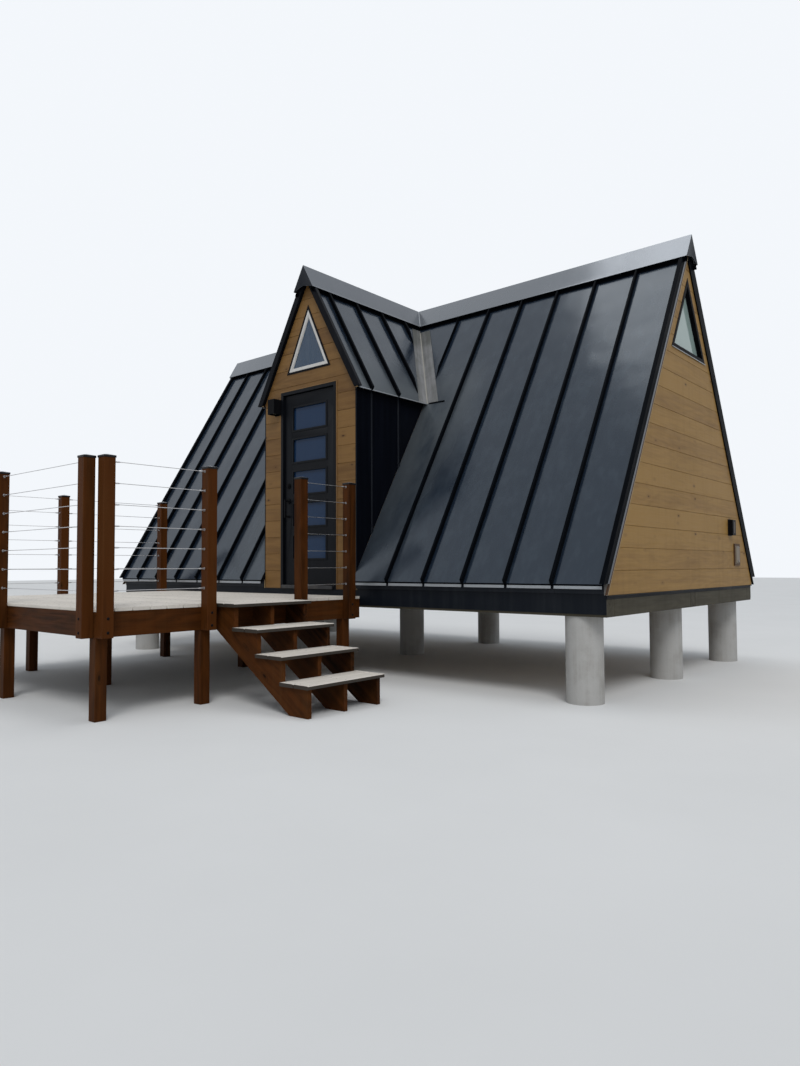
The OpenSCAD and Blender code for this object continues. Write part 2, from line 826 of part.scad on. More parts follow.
// Bent strips along both valleys, one leg on each roof
module valley_leaf() {
    cap_low = cap_leg * cos(roof_slope);
    difference() {
        intersection() {
            along_x(entry_x, entry_x + far) main_strip(entry_eave_z, main_apex(main_seam) - cap_leg,
                main_pan + seat, main_pan + seat + valley_t);
            entry_plan(valley_w);
            box([entry_x, -valley_y, 0], [far, -cap_low, far]);
        }
        entry_plan(0);
    }
    difference() {
        intersection() {
            translate([entry_x, 0, 0]) along_y(-far / 4, 0)
                entry_strip(entry_eave_z, entry_apex(entry_seam) - cap_leg,
                    entry_pan + seat, entry_pan + seat + valley_t);
            entry_half_plan(-far, 0);
        }
        entry_half_plan(-far, valley_w);
    }
}
module valley_flashing() {
    color("silver") {
        valley_leaf();
        entry_mirror() valley_leaf();
    }
}

module door_frame() {
    stop_y = leaf_face + leaf_t + leaf_gap;
    jamb_x = entry_x + door_in;
    plate_w = leaf_t * 0.8;
    color(metal) {
        for (side = [0, 1]) translate([entry_x, 0, 0]) mirror([side, 0, 0]) {
            box([door_in, frame_face, floor_z], [door_half, wall_back, door_top]);
            box([door_in - stop_t, stop_y, floor_z + sill_h + seat],
                [door_in, stop_y + stop_t, door_top - jamb_t - seat]);
        }
        box([entry_x - door_in + seat, frame_face, door_top - jamb_t],
            [entry_x + door_in - seat, wall_back, door_top]);
    }
    // Frame side of the hinges
    color("dimgray") for (z = hinge_zs()) {
        box([jamb_x - hinge_t, leaf_face, z - hinge_len / 2],
            [jamb_x, leaf_face + plate_w, z + hinge_len / 2]);
        for (s = [-hinge_len / 2, hinge_len / 6]) {
            box([pin_x, pin_y, z + s], [jamb_x, leaf_face, z + s + hinge_len / 3]);
            translate([pin_x, pin_y, z + s]) cylinder(r = barrel_r, h = hinge_len / 3);
        }
    }
}
function hinge_zs() = [leaf_z0 + hinge_in, (leaf_z0 + leaf_z1) / 2, leaf_z1 - hinge_in];

module door_sill() {
    color("dimgray")
        box([entry_x - door_in + seat, frame_face - sill_out, floor_z + seat],
            [entry_x + door_in - seat, wall_back, floor_z + sill_h]);
}

module lite_boxes(y0, y1) {
    for (i = [0 : lites - 1])
        box([lite_x - lite_w / 2, y0, lite_top - i * lite_pitch - lite_h],
            [lite_x + lite_w / 2, y1, lite_top - i * lite_pitch]);
}
module door_leaf() {
    knuckle = hinge_len / 3 - 2 * seat;
    color([0.12, 0.14, 0.17]) difference() {
        box([leaf_x0, leaf_face, leaf_z0], [leaf_x1, leaf_face + leaf_t, leaf_z1]);
        lite_boxes(leaf_face - 1, leaf_face + leaf_t + 1);
    }
    // Leaf side of the hinges
    color("dimgray") for (z = hinge_zs()) {
        box([leaf_x1 - hinge_t, pin_y, z - knuckle / 2], [leaf_x1, leaf_face, z + knuckle / 2]);
        translate([pin_x, pin_y, z - knuckle / 2]) cylinder(r = barrel_r, h = knuckle);
    }
}
module door_glass() {
    mid = leaf_face + leaf_t / 2;
    color([0.45, 0.55, 0.65, 0.5]) lite_boxes(mid - glass_t, mid + glass_t);
}

// Round bar along Y at height z
module pin(y0, y1, z, r) {
    translate([0, y1, z]) rotate([90, 0, 0]) cylinder(r = r, h = y1 - y0);
}
// Bolt, grip and lever of the lock
module door_lockset() {
    back = leaf_face + leaf_t;
    color("black") translate([lock_x, 0, floor_z]) {
        for (z = [bolt_z, lever_z], y = [leaf_face - rose_t, back])
            pin(y, y + rose_t, z, rose_r);
        pin(leaf_face - rose_t, leaf_face, grip_z, grip_t);
        pin(leaf_face - 2 * rose_t, leaf_face - rose_t, bolt_z, rose_r / 2);
        for (z = [lever_z, grip_z])
            pin(leaf_face - grip_out, leaf_face - rose_t, z, spindle_r);
        box([-spindle_r, leaf_face - grip_out - grip_t, grip_z - rose_t],
            [spindle_r, leaf_face - grip_out, lever_z + rose_t]);
        pin(back + rose_t, back + grip_out, lever_z, spindle_r);
        box([-spindle_r, back + grip_out - rose_t, lever_z - spindle_r],
            [lever_len, back + grip_out, lever_z + spindle_r]);
        box([-spindle_r / 2, back + rose_t, bolt_z - 2 * spindle_r],
            [spindle_r / 2, back + 2 * rose_t, bolt_z + 2 * spindle_r]);
    }
}

// Wall lamp as an open box that lights up and down, its back at the origin
module lamp(w, d, h) {
    in = w / 2 - lamp_t;
    color("black") difference() {
        box([-w / 2, -d, 0], [w / 2, 0, h]);
        box([-in, -d + lamp_t, -1], [in, -lamp_t, h / 4]);
        box([-in, -d + lamp_t, h * 3 / 4], [in, -lamp_t, h + 1]);
    }
}
module wall_lamps() {
    translate([entry_x - door_half - lamp_w / 2 - side_gap, -entry_front, floor_z + lamp_z])
        lamp(lamp_w, lamp_d, lamp_h);
    translate([cabin_half, floor_half - gable_lamp_in, floor_z + gable_lamp_z]) rotate([0, 0, 90])
        lamp(lamp_w, gable_lamp_d, lamp_h);
}
module supply_box() {
    rim = 14;
    color("silver") translate([cabin_half, floor_half - inlet_in, floor_z + inlet_z]) {
        box([0, -inlet_w / 2, 0], [inlet_d / 2, inlet_w / 2, inlet_h]);
        box([0, -inlet_w / 2 + rim, rim], [inlet_d, inlet_w / 2 - rim, inlet_h - rim]);
    }
}

module deck_supports() {
    xs = [deck_x0 + post / 2, (deck_x0 + deck_x1) / 2, deck_x1 - post / 2];
    ys = [corner_y, near_post_y, -rear_post_y];
    color(stain) for (x = xs, y = ys)
        box([x - post / 2, y - post / 2, 0], [x + post / 2, y + post / 2, rim_z0]);
}
module deck_frame() {
    span = deck_w - 2 * rim_t;
    color(stain) {
        for (x = [deck_x0, deck_x1 - rim_t])
            box([x, -deck_front, rim_z0], [x + rim_t, deck_back, rim_z1]);
        for (y = [-deck_front, deck_back - rim_t])
            box([deck_x0 + rim_t + seat, y, rim_z0], [deck_x1 - rim_t - seat, y + rim_t, rim_z1]);
        for (i = [1 : deck_joists])
            translate([deck_x0 + rim_t + i * span / (deck_joists + 1) - rim_t / 2, 0, 0])
                box([0, -deck_front + rim_t + seat, rim_z0], [rim_t, deck_back - rim_t - seat, rim_z1]);
    }
}
module deck_boards() {
    color("lightgray") box([deck_x0, -deck_front, rim_z1], [deck_x1, deck_back, deck_z]);
}

// Front edge of tread i, counted from the landing
function tread_x(i) = deck_x1 + landing + i * stair_run;
function tread_top(i) = deck_z - i * riser_h;

module stair_stringers() {
    start = deck_x1 + seat;
    cuts = [for (i = [0 : treads]) each [
        [tread_x(i) - nosing, tread_top(i) - tread_t],
        [tread_x(i) - nosing, i == treads ? 0 : tread_top(i + 1) - tread_t]]];
    slope = riser_h / stair_run;
    drop = throat / cos(atan(slope));
    low = tread_top(1) - tread_t + (tread_x(0) - nosing - start) * slope - drop;
    ys = [stair_y0 + nosing, (stair_y0 + stair_y1) / 2 - stringer_t / 2, stair_y1 - nosing - stringer_t];
    color(stain) for (y = ys) along_y(y, y + stringer_t) polygon(concat(
        [[start, tread_top(0) - tread_t]], cuts, [[start + low / slope, 0], [start, low]]));
}
module stair_treads() {
    color("lightgray") {
        box([deck_x1 + seat, stair_y0, tread_top(0) - tread_t], [tread_x(0), stair_y1, tread_top(0)]);
        for (i = [1 : treads])
            box([tread_x(i - 1) - nosing + seat, stair_y0, tread_top(i) - tread_t],
                [tread_x(i), stair_y1, tread_top(i)]);
    }
}

module rail_posts() {
    color(stain) for (p = rail_points)
        box([p[0] - post / 2, p[1] - post / 2, rim_z0], [p[0] + post / 2, p[1] + post / 2, post_top]);
}
module post_cap() {
    r = post / 2 + cap_wall;
    top = cap_plate + cap_peak;
    difference() {
        box([-r, -r, -cap_rim], [r, r, cap_plate]);
        box([-post / 2, -post / 2, -cap_rim - 1], [post / 2, post / 2, 0]);
    }
    intersection() {
        along_x(-r, r) polygon([[-r, cap_plate], [r, cap_plate], [0, top]]);
        along_y(-r, r) polygon([[-r, cap_plate], [r, cap_plate], [0, top]]);
    }
}
module post_caps() {
    color("black") for (p = rail_points) translate([p[0], p[1], post_top]) post_cap();
}

// One taut cable along Y with a fitting at each end, from y0 to y1
module cable(y0, y1) {
    rotate([-90, 0, 0]) {
        translate([0, 0, y0]) cylinder(d = cable_d, h = y1 - y0, $fn = 16);
        for (z = [y0, y1 - fitting_len])
            translate([0, 0, z]) cylinder(d = fitting_d, h = fitting_len, $fn = 16);
    }
}
module rail_cables() {
    color(steel) for (i = [0 : cables - 1]) translate([0, 0, post_top - cable_top - i * cable_step]) {
        for (b = side_bays) translate([b[0], 0, 0]) cable(b[1] + post / 2, b[2] - post / 2);
        for (b = front_bays) translate([0, b[0], 0]) rotate([0, 0, -90])
            cable(b[1] + post / 2, b[2] - post / 2);
    }
}

foundation_piers();
base_beams();
floor_joists();
floor();
skirt_panels();
gable_wall_right();
gable_wall_left();
gable_boards();
gable_window_frames();
window_glass();
entry_wall();
entry_boards();
entry_side_walls();
entry_side_cladding();
transom_frame();
roof_deck_front_right();
roof_deck_front_left();
roof_deck_back();
roof_metal_front_right();
roof_metal_front_left();
roof_metal_back();
entry_roof_right();
entry_roof_left();
entry_metal_right();
entry_metal_left();
main_ridge_cap();
entry_ridge_cap();
rake_trims();
entry_rake_trim();
valley_flashing();
door_frame();
door_sill();
door_leaf();
door_glass();
door_lockset();
wall_lamps();
supply_box();
deck_supports();
deck_frame();
deck_boards();
stair_stringers();
stair_treads();
rail_posts();
post_caps();
rail_cables();
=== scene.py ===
"""Looks of the A-frame cabin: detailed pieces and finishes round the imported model, in metres."""

import logging
import math
import random
from collections.abc import Callable, Sequence
from dataclasses import dataclass
from enum import Enum
from typing import Any

import bmesh
import bpy
from mathutils import Matrix, Vector


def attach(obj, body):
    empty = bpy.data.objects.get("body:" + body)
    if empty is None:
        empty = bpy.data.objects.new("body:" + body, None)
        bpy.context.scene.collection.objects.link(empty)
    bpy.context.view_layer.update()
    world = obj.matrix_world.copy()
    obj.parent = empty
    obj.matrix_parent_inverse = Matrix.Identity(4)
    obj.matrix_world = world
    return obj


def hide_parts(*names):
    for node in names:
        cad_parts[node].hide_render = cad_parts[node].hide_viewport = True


LOG = logging.getLogger("cabin")

Colour = tuple[float, float, float]
Point = tuple[float, float, float]
Outline = list[tuple[float, float]]
Socket = bpy.types.NodeSocket


class Body(Enum):
    """Bodies that a piece can ride on."""

    CABIN = "cabin"
    DOOR = "door"


class Axis(Enum):
    """Direction that an outline is drawn out along, with the axes that its points lie on."""

    X = (0, 1, 2)
    Y = (1, 0, 2)
    Z = (2, 0, 1)


class Pattern(Enum):
    """Where a finish reads the place of its pattern."""

    OBJECT = "object"
    GRAIN = "grain"


# Plan


@dataclass(frozen=True)
class Plan:
    """Main sizes of the cabin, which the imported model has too."""

    half_len: float = 3.4785
    floor_half: float = 1.847
    floor_z: float = 0.860
    slope: float = math.radians(59.3)
    deck_level: float = 0.115
    pan_level: float = 0.121
    seam_level: float = 0.159
    cap_level: float = 0.163
    eave_z: float = 0.950
    rake_t: float = 0.014
    panels: int = 16
    seam_w: float = 0.025
    seam_shift: float = -0.025
    rake_low: float = 0.072
    cap_leg: float = 0.300
    closure_in: float = 0.012
    valley_w: float = 0.150
    board_t: float = 0.019
    base_half: float = 1.878
    rib_h: float = 0.014
    win_proud: float = 0.003
    win_level: float = -0.050
    win_h: float = 0.766
    transom_slope: float = 64.6
    transom_up: float = 0.188
    transom_level: float = -0.082
    entry_x: float = 0.136
    entry_half: float = 0.699
    entry_front: float = 1.878
    entry_face: float = 1.918
    entry_eave_half: float = 0.789
    entry_eave_z: float = 2.886
    entry_rake_low: float = 0.054
    entry_pan_level: float = 0.082
    entry_seam_level: float = 0.120
    entry_first_seam: float = 0.223
    entry_pitch: float = 0.420
    door_half: float = 0.4235
    door_top: float = 2.990
    deck_z: float = 0.800
    deck_x0: float = -2.256
    deck_x1: float = 0.884
    deck_y0: float = -4.6003
    deck_y1: float = -1.8843
    board_thick: float = 0.025

    @property
    def roof_half(self) -> float:
        """Half length of the roof over its rake trims."""
        return self.half_len + self.rake_t

    @property
    def pitch(self) -> float:
        """Distance between two seams of the main roof."""
        return 2 * self.roof_half / self.panels

    @property
    def entry_top(self) -> float:
        """Height of the ridge that both roofs' seams reach."""
        return self.apex(self.seam_level)

    @property
    def entry_slope(self) -> float:
        """Slope of the entry roof in radians."""
        return math.atan((self.entry_top - self.entry_eave_z) / self.entry_eave_half)

    @property
    def valley_ratio(self) -> float:
        """Run of the valley along X for each metre along Y."""
        return math.tan(self.slope) / math.tan(self.entry_slope)

    @property
    def valley_y(self) -> float:
        """Distance of the valley's foot from the ridge, along Y."""
        return self.entry_eave_half / self.valley_ratio

    def seam_x(self, i: int) -> float:
        """Place of a seam of the main roof along X, counted from the left rake."""
        return -self.roof_half + i * self.pitch + self.seam_shift

    def half(self, z: float, level: float) -> float:
        """Half width of the main roof at height z on a level square to the slope."""
        return self.floor_half + level / math.sin(self.slope) - (z - self.floor_z) / math.tan(self.slope)

    def apex(self, level: float) -> float:
        """Height of the main roof's apex on a level."""
        return self.floor_z + self.floor_half * math.tan(self.slope) + level / math.cos(self.slope)

    def entry_apex(self, level: float) -> float:
        """Height of the entry roof's apex on a level."""
        return self.entry_top + (level - self.entry_seam_level) / math.cos(self.entry_slope)

    def entry_at(self, z: float, level: float) -> float:
        """Half width of the entry roof at height z on a level."""
        return (self.entry_apex(level) - z) / math.tan(self.entry_slope)

    def main_frame(self, back: bool = False) -> Matrix:
        """Matrix from X, distance up the slope and level to the cabin, for the front or back slope."""
        s, c = math.sin(self.slope), math.cos(self.slope)
        front = Matrix(((1, 0, 0, 0), (0, c, -s, -self.floor_half), (0, s, c, self.floor_z), (0, 0, 0, 1)))
        return Matrix.Rotation(math.pi, 4, "Z") @ front if back else front

    def entry_frame(self, left: bool = False) -> Matrix:
        """Matrix from Y, distance up the slope and level to the cabin, for one half of the entry roof."""
        s, c = math.sin(self.entry_slope), math.cos(self.entry_slope)
        side = -1 if left else 1
        edge = self.entry_x + side * self.entry_at(self.entry_eave_z, 0)
        rows = ((0, -side * c, side * s, edge), (side, 0, 0, 0), (0, s, c, self.entry_eave_z))
        return Matrix((*rows, (0, 0, 0, 1)))

    def gable_window(self, grow: float) -> Outline:
        """Outline of a gable window, grown on all sides."""
        low = self.apex(self.win_level) - self.win_h - grow
        top = self.apex(self.win_level + grow)
        half = (top - low) / math.tan(self.slope)
        return [(-half, low), (half, low), (0.0, top)]

    def transom(self, shrink: float) -> Outline:
        """Outline of the transom window, drawn in on all sides."""
        slope = math.radians(self.transom_slope)
        low = self.door_top + self.transom_up + shrink
        top = self.entry_apex(self.transom_level) - shrink / math.cos(slope)
        half = (top - low) / math.tan(slope)
        return [(self.entry_x - half, low), (self.entry_x + half, low), (self.entry_x, top)]

    def band(self, low: float, inner: float, outer: float) -> Outline:
        """Outline of a band along the main roof's front slope, from a height to the ridge."""
        ends = [(-self.half(low, level), low) for level in (inner, outer)]
        return [*ends, (0.0, self.apex(outer)), (0.0, self.apex(inner))]

    def gable(self) -> Outline:
        """Outline of a gable's boards: straight up to the eaves and on to the decks' top."""
        eave = self.half(self.eave_z, self.deck_level)
        right = [(self.base_half, self.floor_z), (self.base_half, self.eave_z), (eave, self.eave_z)]
        left = [(-y, z) for y, z in reversed(right)]
        return [*right, (0.0, self.apex(self.deck_level)), *left]


PLAN = Plan()


def rect(a0: float, b0: float, a1: float, b1: float) -> Outline:
    """Outline of a rectangle between two corners."""
    return [(a0, b0), (a1, b0), (a1, b1), (a0, b1)]


def span(side: float, near: float, far: float, middle: float = 0.0) -> list[float]:
    """Both ends of a stretch on one side of a middle, in order."""
    return sorted((middle + side * near, middle + side * far))


# Node graphs


class Graph:
    """Places and joins nodes in one node tree."""

    def __init__(self, tree: bpy.types.NodeTree) -> None:
        self.tree = tree
        self._placed = 0

    def feed(self, node: bpy.types.Node, inputs: dict[Any, Any]) -> None:
        """Gives a node's inputs, by name or number, their values or the outputs that are joined to them."""
        for key, value in inputs.items():
            if isinstance(value, bpy.types.NodeSocket):
                self.tree.links.new(value, node.inputs[key])
            else:
                node.inputs[key].default_value = value

    def node(self, kind: str, inputs: dict[Any, Any] | None = None, **settings: Any) -> bpy.types.Node:
        """Adds a node.

        Args:
            kind: Blender's name of the node type.
            inputs: Sockets' names or numbers, with a value or an output to join.
            settings: Properties that are set before the inputs.

        Returns:
            The new node.
        """
        made = self.tree.nodes.new(kind)
        made.location = (self._placed % 10 * 190, -(self._placed // 10) * 260)
        self._placed += 1
        for key, value in settings.items():
            setattr(made, key, value)
        self.feed(made, inputs or {})
        return made

    def effect(self, tree: bpy.types.NodeTree, **inputs: Any) -> Any:
        """Adds a shader group with its inputs and returns its outputs."""
        return self.node("ShaderNodeGroup", inputs, node_tree=tree).outputs

    def math(self, operation: str, a: Any, b: Any = 0.0, clamp: bool = False) -> Socket:
        """Adds a Math node and returns its output."""
        return self.node("ShaderNodeMath", {0: a, 1: b}, operation=operation, use_clamp=clamp).outputs[0]

    def add(self, a: Any, b: Any, clamp: bool = False) -> Socket:
        """Adds two values."""
        return self.math("ADD", a, b, clamp)

    def less(self, a: Any, b: Any) -> Socket:
        """Takes the second value from the first."""
        return self.math("SUBTRACT", a, b)

    def times(self, first: Any, *others: Any) -> Socket:
        """Multiplies two or more values."""
        for other in others:
            first = self.math("MULTIPLY", first, other)
        return first

    def split(self, vector: Any) -> Any:
        """The three parts of a vector."""
        return self.node("ShaderNodeSeparateXYZ", {0: vector}).outputs

    def vector(self, x: Any = 0.0, y: Any = 0.0, z: Any = 0.0) -> Socket:
        """Joins three parts in a vector."""
        return self.node("ShaderNodeCombineXYZ", {0: x, 1: y, 2: z}).outputs[0]

    def scaled(self, vector: Any, scale: Point) -> Socket:
        """Stretches a vector along each axis."""
        return self.node("ShaderNodeVectorMath", {0: vector, 1: scale}, operation="MULTIPLY").outputs[0]

    def noise(self, vector: Any, scale: Any = 1.0, detail: float = 3.0, rough: float = 0.55) -> Socket:
        """Adds a Noise Texture and returns its value."""
        values = {"Vector": vector, "Scale": scale, "Detail": detail, "Roughness": rough}
        return self.node("ShaderNodeTexNoise", values).outputs[0]

    def step(self, value: Any, low: Any, high: Any, to_low: float = 0.0, to_high: float = 1.0) -> Socket:
        """Adds a smooth Map Range and returns its output."""
        values = {0: value, 1: low, 2: high, 3: to_low, 4: to_high}
        return self.node("ShaderNodeMapRange", values, interpolation_type="SMOOTHSTEP").outputs[0]

    def mix(self, factor: Any, a: Any, b: Any, blend: str = "MIX") -> Socket:
        """Mixes two colours and returns the result."""
        inputs = {0: factor, 6: a, 7: b}
        return self.node("ShaderNodeMix", inputs, data_type="RGBA", blend_type=blend).outputs[2]

    def bump(self, height: Any, distance: float = 0.01, strength: float = 0.6) -> Socket:
        """Adds a Bump node and returns its normal."""
        values = {"Height": height, "Distance": distance, "Strength": strength}
        return self.node("ShaderNodeBump", values).outputs[0]


def socket_kind(value: Any) -> str:
    """Name of the socket type that suits a default value, or the value itself where it is such a name."""
    if isinstance(value, tuple):
        return "Color" if len(value) == 4 else "Vector"
    return value if isinstance(value, str) else type(value).__name__.capitalize()


def new_tree(
    kind: str, name: str, inputs: dict[str, Any], outputs: dict[str, str]
) -> tuple[Any, Graph, Any, Any]:
    """Starts a node tree with its named sockets.

    Args:
        kind: Blender's type of the tree.
        name: Name of the tree.
        inputs: Names with a default value, or with the name of a socket type that has none.
        outputs: Names with the name of a socket type.

    Returns:
        The tree, a graph on it, the sockets of its input node and its output node.
    """
    tree = bpy.data.node_groups.new(name, kind)
    for key, value in inputs.items():
        socket = tree.interface.new_socket(key, in_out="INPUT", socket_type=f"NodeSocket{socket_kind(value)}")
        if not isinstance(value, str):
            socket.default_value = value
    for key, value in outputs.items():
        tree.interface.new_socket(key, in_out="OUTPUT", socket_type=f"NodeSocket{value}")
    graph = Graph(tree)
    return tree, graph, graph.node("NodeGroupInput").outputs, graph.node("NodeGroupOutput")


ORIGIN: Point = (0.0, 0.0, 0.0)


class ShaderGroups:
    """Shader effects that several finishes share, each a node group."""

    def __init__(self) -> None:
        self.grain = self._grain()
        self.weather = self._weather()
        self.sheet = self._sheet()

    def _grain(self) -> bpy.types.NodeTree:
        """Sawn timber: fibres, year rings and knots along the first axis of the vector."""
        inputs = {"Vector": ORIGIN, "Light": (0.5, 0.3, 0.12, 1.0), "Dark": (0.25, 0.12, 0.04, 1.0)}
        inputs |= {"Knots": 0.3, "Tone": 0.0, "Contrast": 1.0}
        outputs = {"Color": "Color", "Roughness": "Float", "Height": "Float"}
        tree, g, given, out = new_tree("ShaderNodeTree", "timber_grain", inputs, outputs)
        place, light, dark = given["Vector"], given["Light"], given["Dark"]
        spread = g.scaled(place, (4.0, 11.0, 9.0))
        cells = g.node("ShaderNodeTexVoronoi", {"Vector": spread, "Scale": 1.0}).outputs
        draw = g.node("ShaderNodeSeparateColor", {0: cells["Color"]}).outputs[0]
        chosen = g.math("LESS_THAN", draw, given["Knots"])
        knot = g.times(g.step(cells["Distance"], 0.100, 0.045), chosen)
        halo = g.times(g.step(cells["Distance"], 0.26, 0.06), chosen)
        broad = g.noise(g.scaled(place, (0.8, 5.0, 5.0)), 1.0, 2.0)
        rings = g.math("PINGPONG", g.add(g.times(broad, 8.0), g.times(halo, 1.6)), 0.5)
        fibres = g.noise(g.scaled(place, (3.0, 90.0, 90.0)), 1.0, 3.0, 0.65)
        streaks = g.noise(g.scaled(place, (0.9, 16.0, 16.0)), 1.0, 3.0)
        lines = g.add(g.times(rings, 0.55), g.times(g.less(fibres, 0.5), 0.55))
        lines = g.add(lines, g.times(g.less(streaks, 0.42), 1.25))
        factor = g.add(g.times(lines, given["Contrast"]), g.times(given["Tone"], 0.35), clamp=True)
        wood = g.mix(g.times(halo, 0.45), g.mix(factor, light, dark), dark)
        core = g.mix(1.0, dark, (0.34, 0.25, 0.18, 1.0), "MULTIPLY")
        height = g.add(g.times(fibres, 0.5), g.times(rings, 0.5))
        results = {"Color": g.mix(g.times(knot, 0.9), wood, core)}
        results |= {"Roughness": g.add(g.times(fibres, 0.22), g.times(knot, 0.1))}
        results |= {"Height": g.less(height, g.times(knot, 0.5))}
        g.feed(out, results)
        return tree

    def _weather(self) -> bpy.types.NodeTree:
        """Dust and water marks: patches all over, with streaks that run down."""
        inputs = {"Vector": ORIGIN, "Color": (0.1, 0.1, 0.1, 1.0), "Dust": (0.3, 0.28, 0.25, 1.0)}
        inputs |= {"Amount": 0.3, "Scale": 3.0, "Streaks": 0.5}
        outputs = {"Color": "Color", "Mask": "Float"}
        tree, g, given, out = new_tree("ShaderNodeTree", "weathering", inputs, outputs)
        place = given["Vector"]
        patches = g.noise(place, given["Scale"], 6.0, 0.6)
        runs = g.noise(g.scaled(place, (9.0, 9.0, 0.45)), given["Scale"], 4.0, 0.6)
        both = g.node("ShaderNodeMix", {0: given["Streaks"], 2: patches, 3: runs}).outputs[0]
        mask = g.times(g.step(both, 0.42, 0.72), given["Amount"])
        g.feed(out, {"Color": g.mix(mask, given["Color"], given["Dust"]), "Mask": mask})
        return tree

    def _sheet(self) -> bpy.types.NodeTree:
        """Rolled sheet: slight waves, fine paint texture and a few faint scuffs."""
        inputs = {"Vector": ORIGIN, "Waves": 1.0, "Texture": 0.2, "Scuffs": 0.2}
        outputs = {"Height": "Float", "Roughness": "Float"}
        tree, g, given, out = new_tree("ShaderNodeTree", "rolled_sheet", inputs, outputs)
        place = given["Vector"]
        waves = g.times(g.noise(place, 2.2, 2.0), given["Waves"])
        peel = g.times(g.noise(place, 420.0, 2.0), given["Texture"])
        scuffs = g.step(g.noise(g.scaled(place, (7.0, 23.0, 7.0)), 3.0, 8.0, 0.75), 0.55, 0.75)
        broad = g.less(g.noise(place, 1.4, 4.0), 0.5)
        rough = g.add(g.times(scuffs, given["Scuffs"]), g.times(broad, 0.25))
        g.feed(out, {"Height": g.add(waves, g.times(peel, 0.01)), "Roughness": rough})
        return tree


def rgba(colour: Colour) -> tuple[float, float, float, float]:
    """A colour with full alpha."""
    return (*colour, 1.0)


def start_material(
    name: str, pattern: Pattern = Pattern.OBJECT
) -> tuple[bpy.types.Material, Graph, Any, Socket]:
    """Makes a material with an empty Principled shader.

    Args:
        name: Name of the material.
        pattern: Where its pattern takes its place from.

    Returns:
        The material, a graph on it, its shader and the vector for its textures.
    """
    material = bpy.data.materials.new(name)
    material.use_nodes = True
    graph = Graph(material.node_tree)
    if pattern is Pattern.GRAIN:
        place = graph.node("ShaderNodeAttribute", attribute_name="grain").outputs["Vector"]
    else:
        place = graph.node("ShaderNodeTexCoord").outputs["Object"]
    return material, graph, material.node_tree.nodes["Principled BSDF"], place


# Finishes


@dataclass(frozen=True)
class TimberFinish:
    """Wood with grain along each board."""

    name: str
    light: Colour
    dark: Colour
    knots: float = 0.2
    roughness: float = 0.5
    contrast: float = 1.0
    bump: float = 0.0006
    grime: Colour = (0.20, 0.17, 0.14)
    grime_amount: float = 0.15
    specular: float = 0.35
    pattern: Pattern = Pattern.GRAIN

    def material(self, groups: ShaderGroups) -> bpy.types.Material:
        """Builds the material."""
        material, g, shader, place = start_material(self.name, self.pattern)
        looks = {"Light": rgba(self.light), "Dark": rgba(self.dark), "Knots": self.knots}
        tone = g.node("ShaderNodeAttribute", attribute_name="tone").outputs["Fac"]
        wood = g.effect(groups.grain, Vector=place, Tone=tone, Contrast=self.contrast, **looks)
        world = g.node("ShaderNodeTexCoord").outputs["Object"]
        marks = {"Dust": rgba(self.grime), "Amount": self.grime_amount, "Scale": 1.7, "Streaks": 0.45}
        grime = g.effect(groups.weather, Vector=world, Color=wood["Color"], **marks)
        rough = g.add(wood["Roughness"], self.roughness - 0.1)
        rough = g.add(rough, g.times(grime["Mask"], 0.2), clamp=True)
        normal = g.bump(wood["Height"], self.bump, 1.0)
        g.feed(shader, {"Base Color": grime["Color"], "Roughness": rough, "Normal": normal})
        g.feed(shader, {"Specular IOR Level": self.specular})
        return material


@dataclass(frozen=True)
class MetalFinish:
    """Painted, coated or bare sheet metal and fittings."""

    name: str
    colour: Colour
    roughness: float = 0.35
    metallic: float = 0.0
    specular: float = 0.5
    dust: Colour = (0.12, 0.12, 0.12)
    dust_amount: float = 0.12
    dust_scale: float = 1.6
    streaks: float = 0.7
    waves: float = 0.0
    texture: float = 0.6
    scuffs: float = 0.12

    def material(self, groups: ShaderGroups) -> bpy.types.Material:
        """Builds the material."""
        material, g, shader, place = start_material(self.name)
        marks = {"Dust": rgba(self.dust), "Amount": self.dust_amount, "Scale": self.dust_scale}
        dirt = g.effect(groups.weather, Vector=place, Color=rgba(self.colour), Streaks=self.streaks, **marks)
        surface = {"Waves": self.waves, "Texture": self.texture, "Scuffs": self.scuffs}
        sheet = g.effect(groups.sheet, Vector=place, **surface)
        rough = g.add(sheet["Roughness"], self.roughness)
        rough = g.add(rough, g.times(dirt["Mask"], 0.35), clamp=True)
        g.feed(shader, {"Base Color": dirt["Color"], "Roughness": rough, "Normal": g.bump(sheet["Height"])})
        g.feed(shader, {"Metallic": self.metallic, "Specular IOR Level": self.specular})
        return material


@dataclass(frozen=True)
class GlassFinish:
    """A pane with a colour, a trace of dust and slight waves; on the cabin's panes the colour is painted
    light and reflection.
    """

    name: str
    colour: Colour
    transmission: float = 0.85
    roughness: float = 0.03
    dust: Colour = (0.5, 0.52, 0.5)
    dust_amount: float = 0.10
    specular: float = 0.5

    def material(self, groups: ShaderGroups) -> bpy.types.Material:
        """Builds the material."""
        material, g, shader, place = start_material(self.name)
        marks = {"Dust": rgba(self.dust), "Amount": self.dust_amount, "Scale": 2.5, "Streaks": 0.6}
        dirt = g.effect(groups.weather, Vector=place, Color=rgba(self.colour), **marks)
        rough = g.add(g.times(dirt["Mask"], 0.8), self.roughness)
        normal = g.bump(g.noise(place, 1.3, 1.0), 0.006, 0.5)
        g.feed(shader, {"Base Color": dirt["Color"], "Roughness": rough, "Normal": normal, "IOR": 1.45})
        g.feed(shader, {"Transmission Weight": self.transmission, "Specular IOR Level": self.specular})
        return material


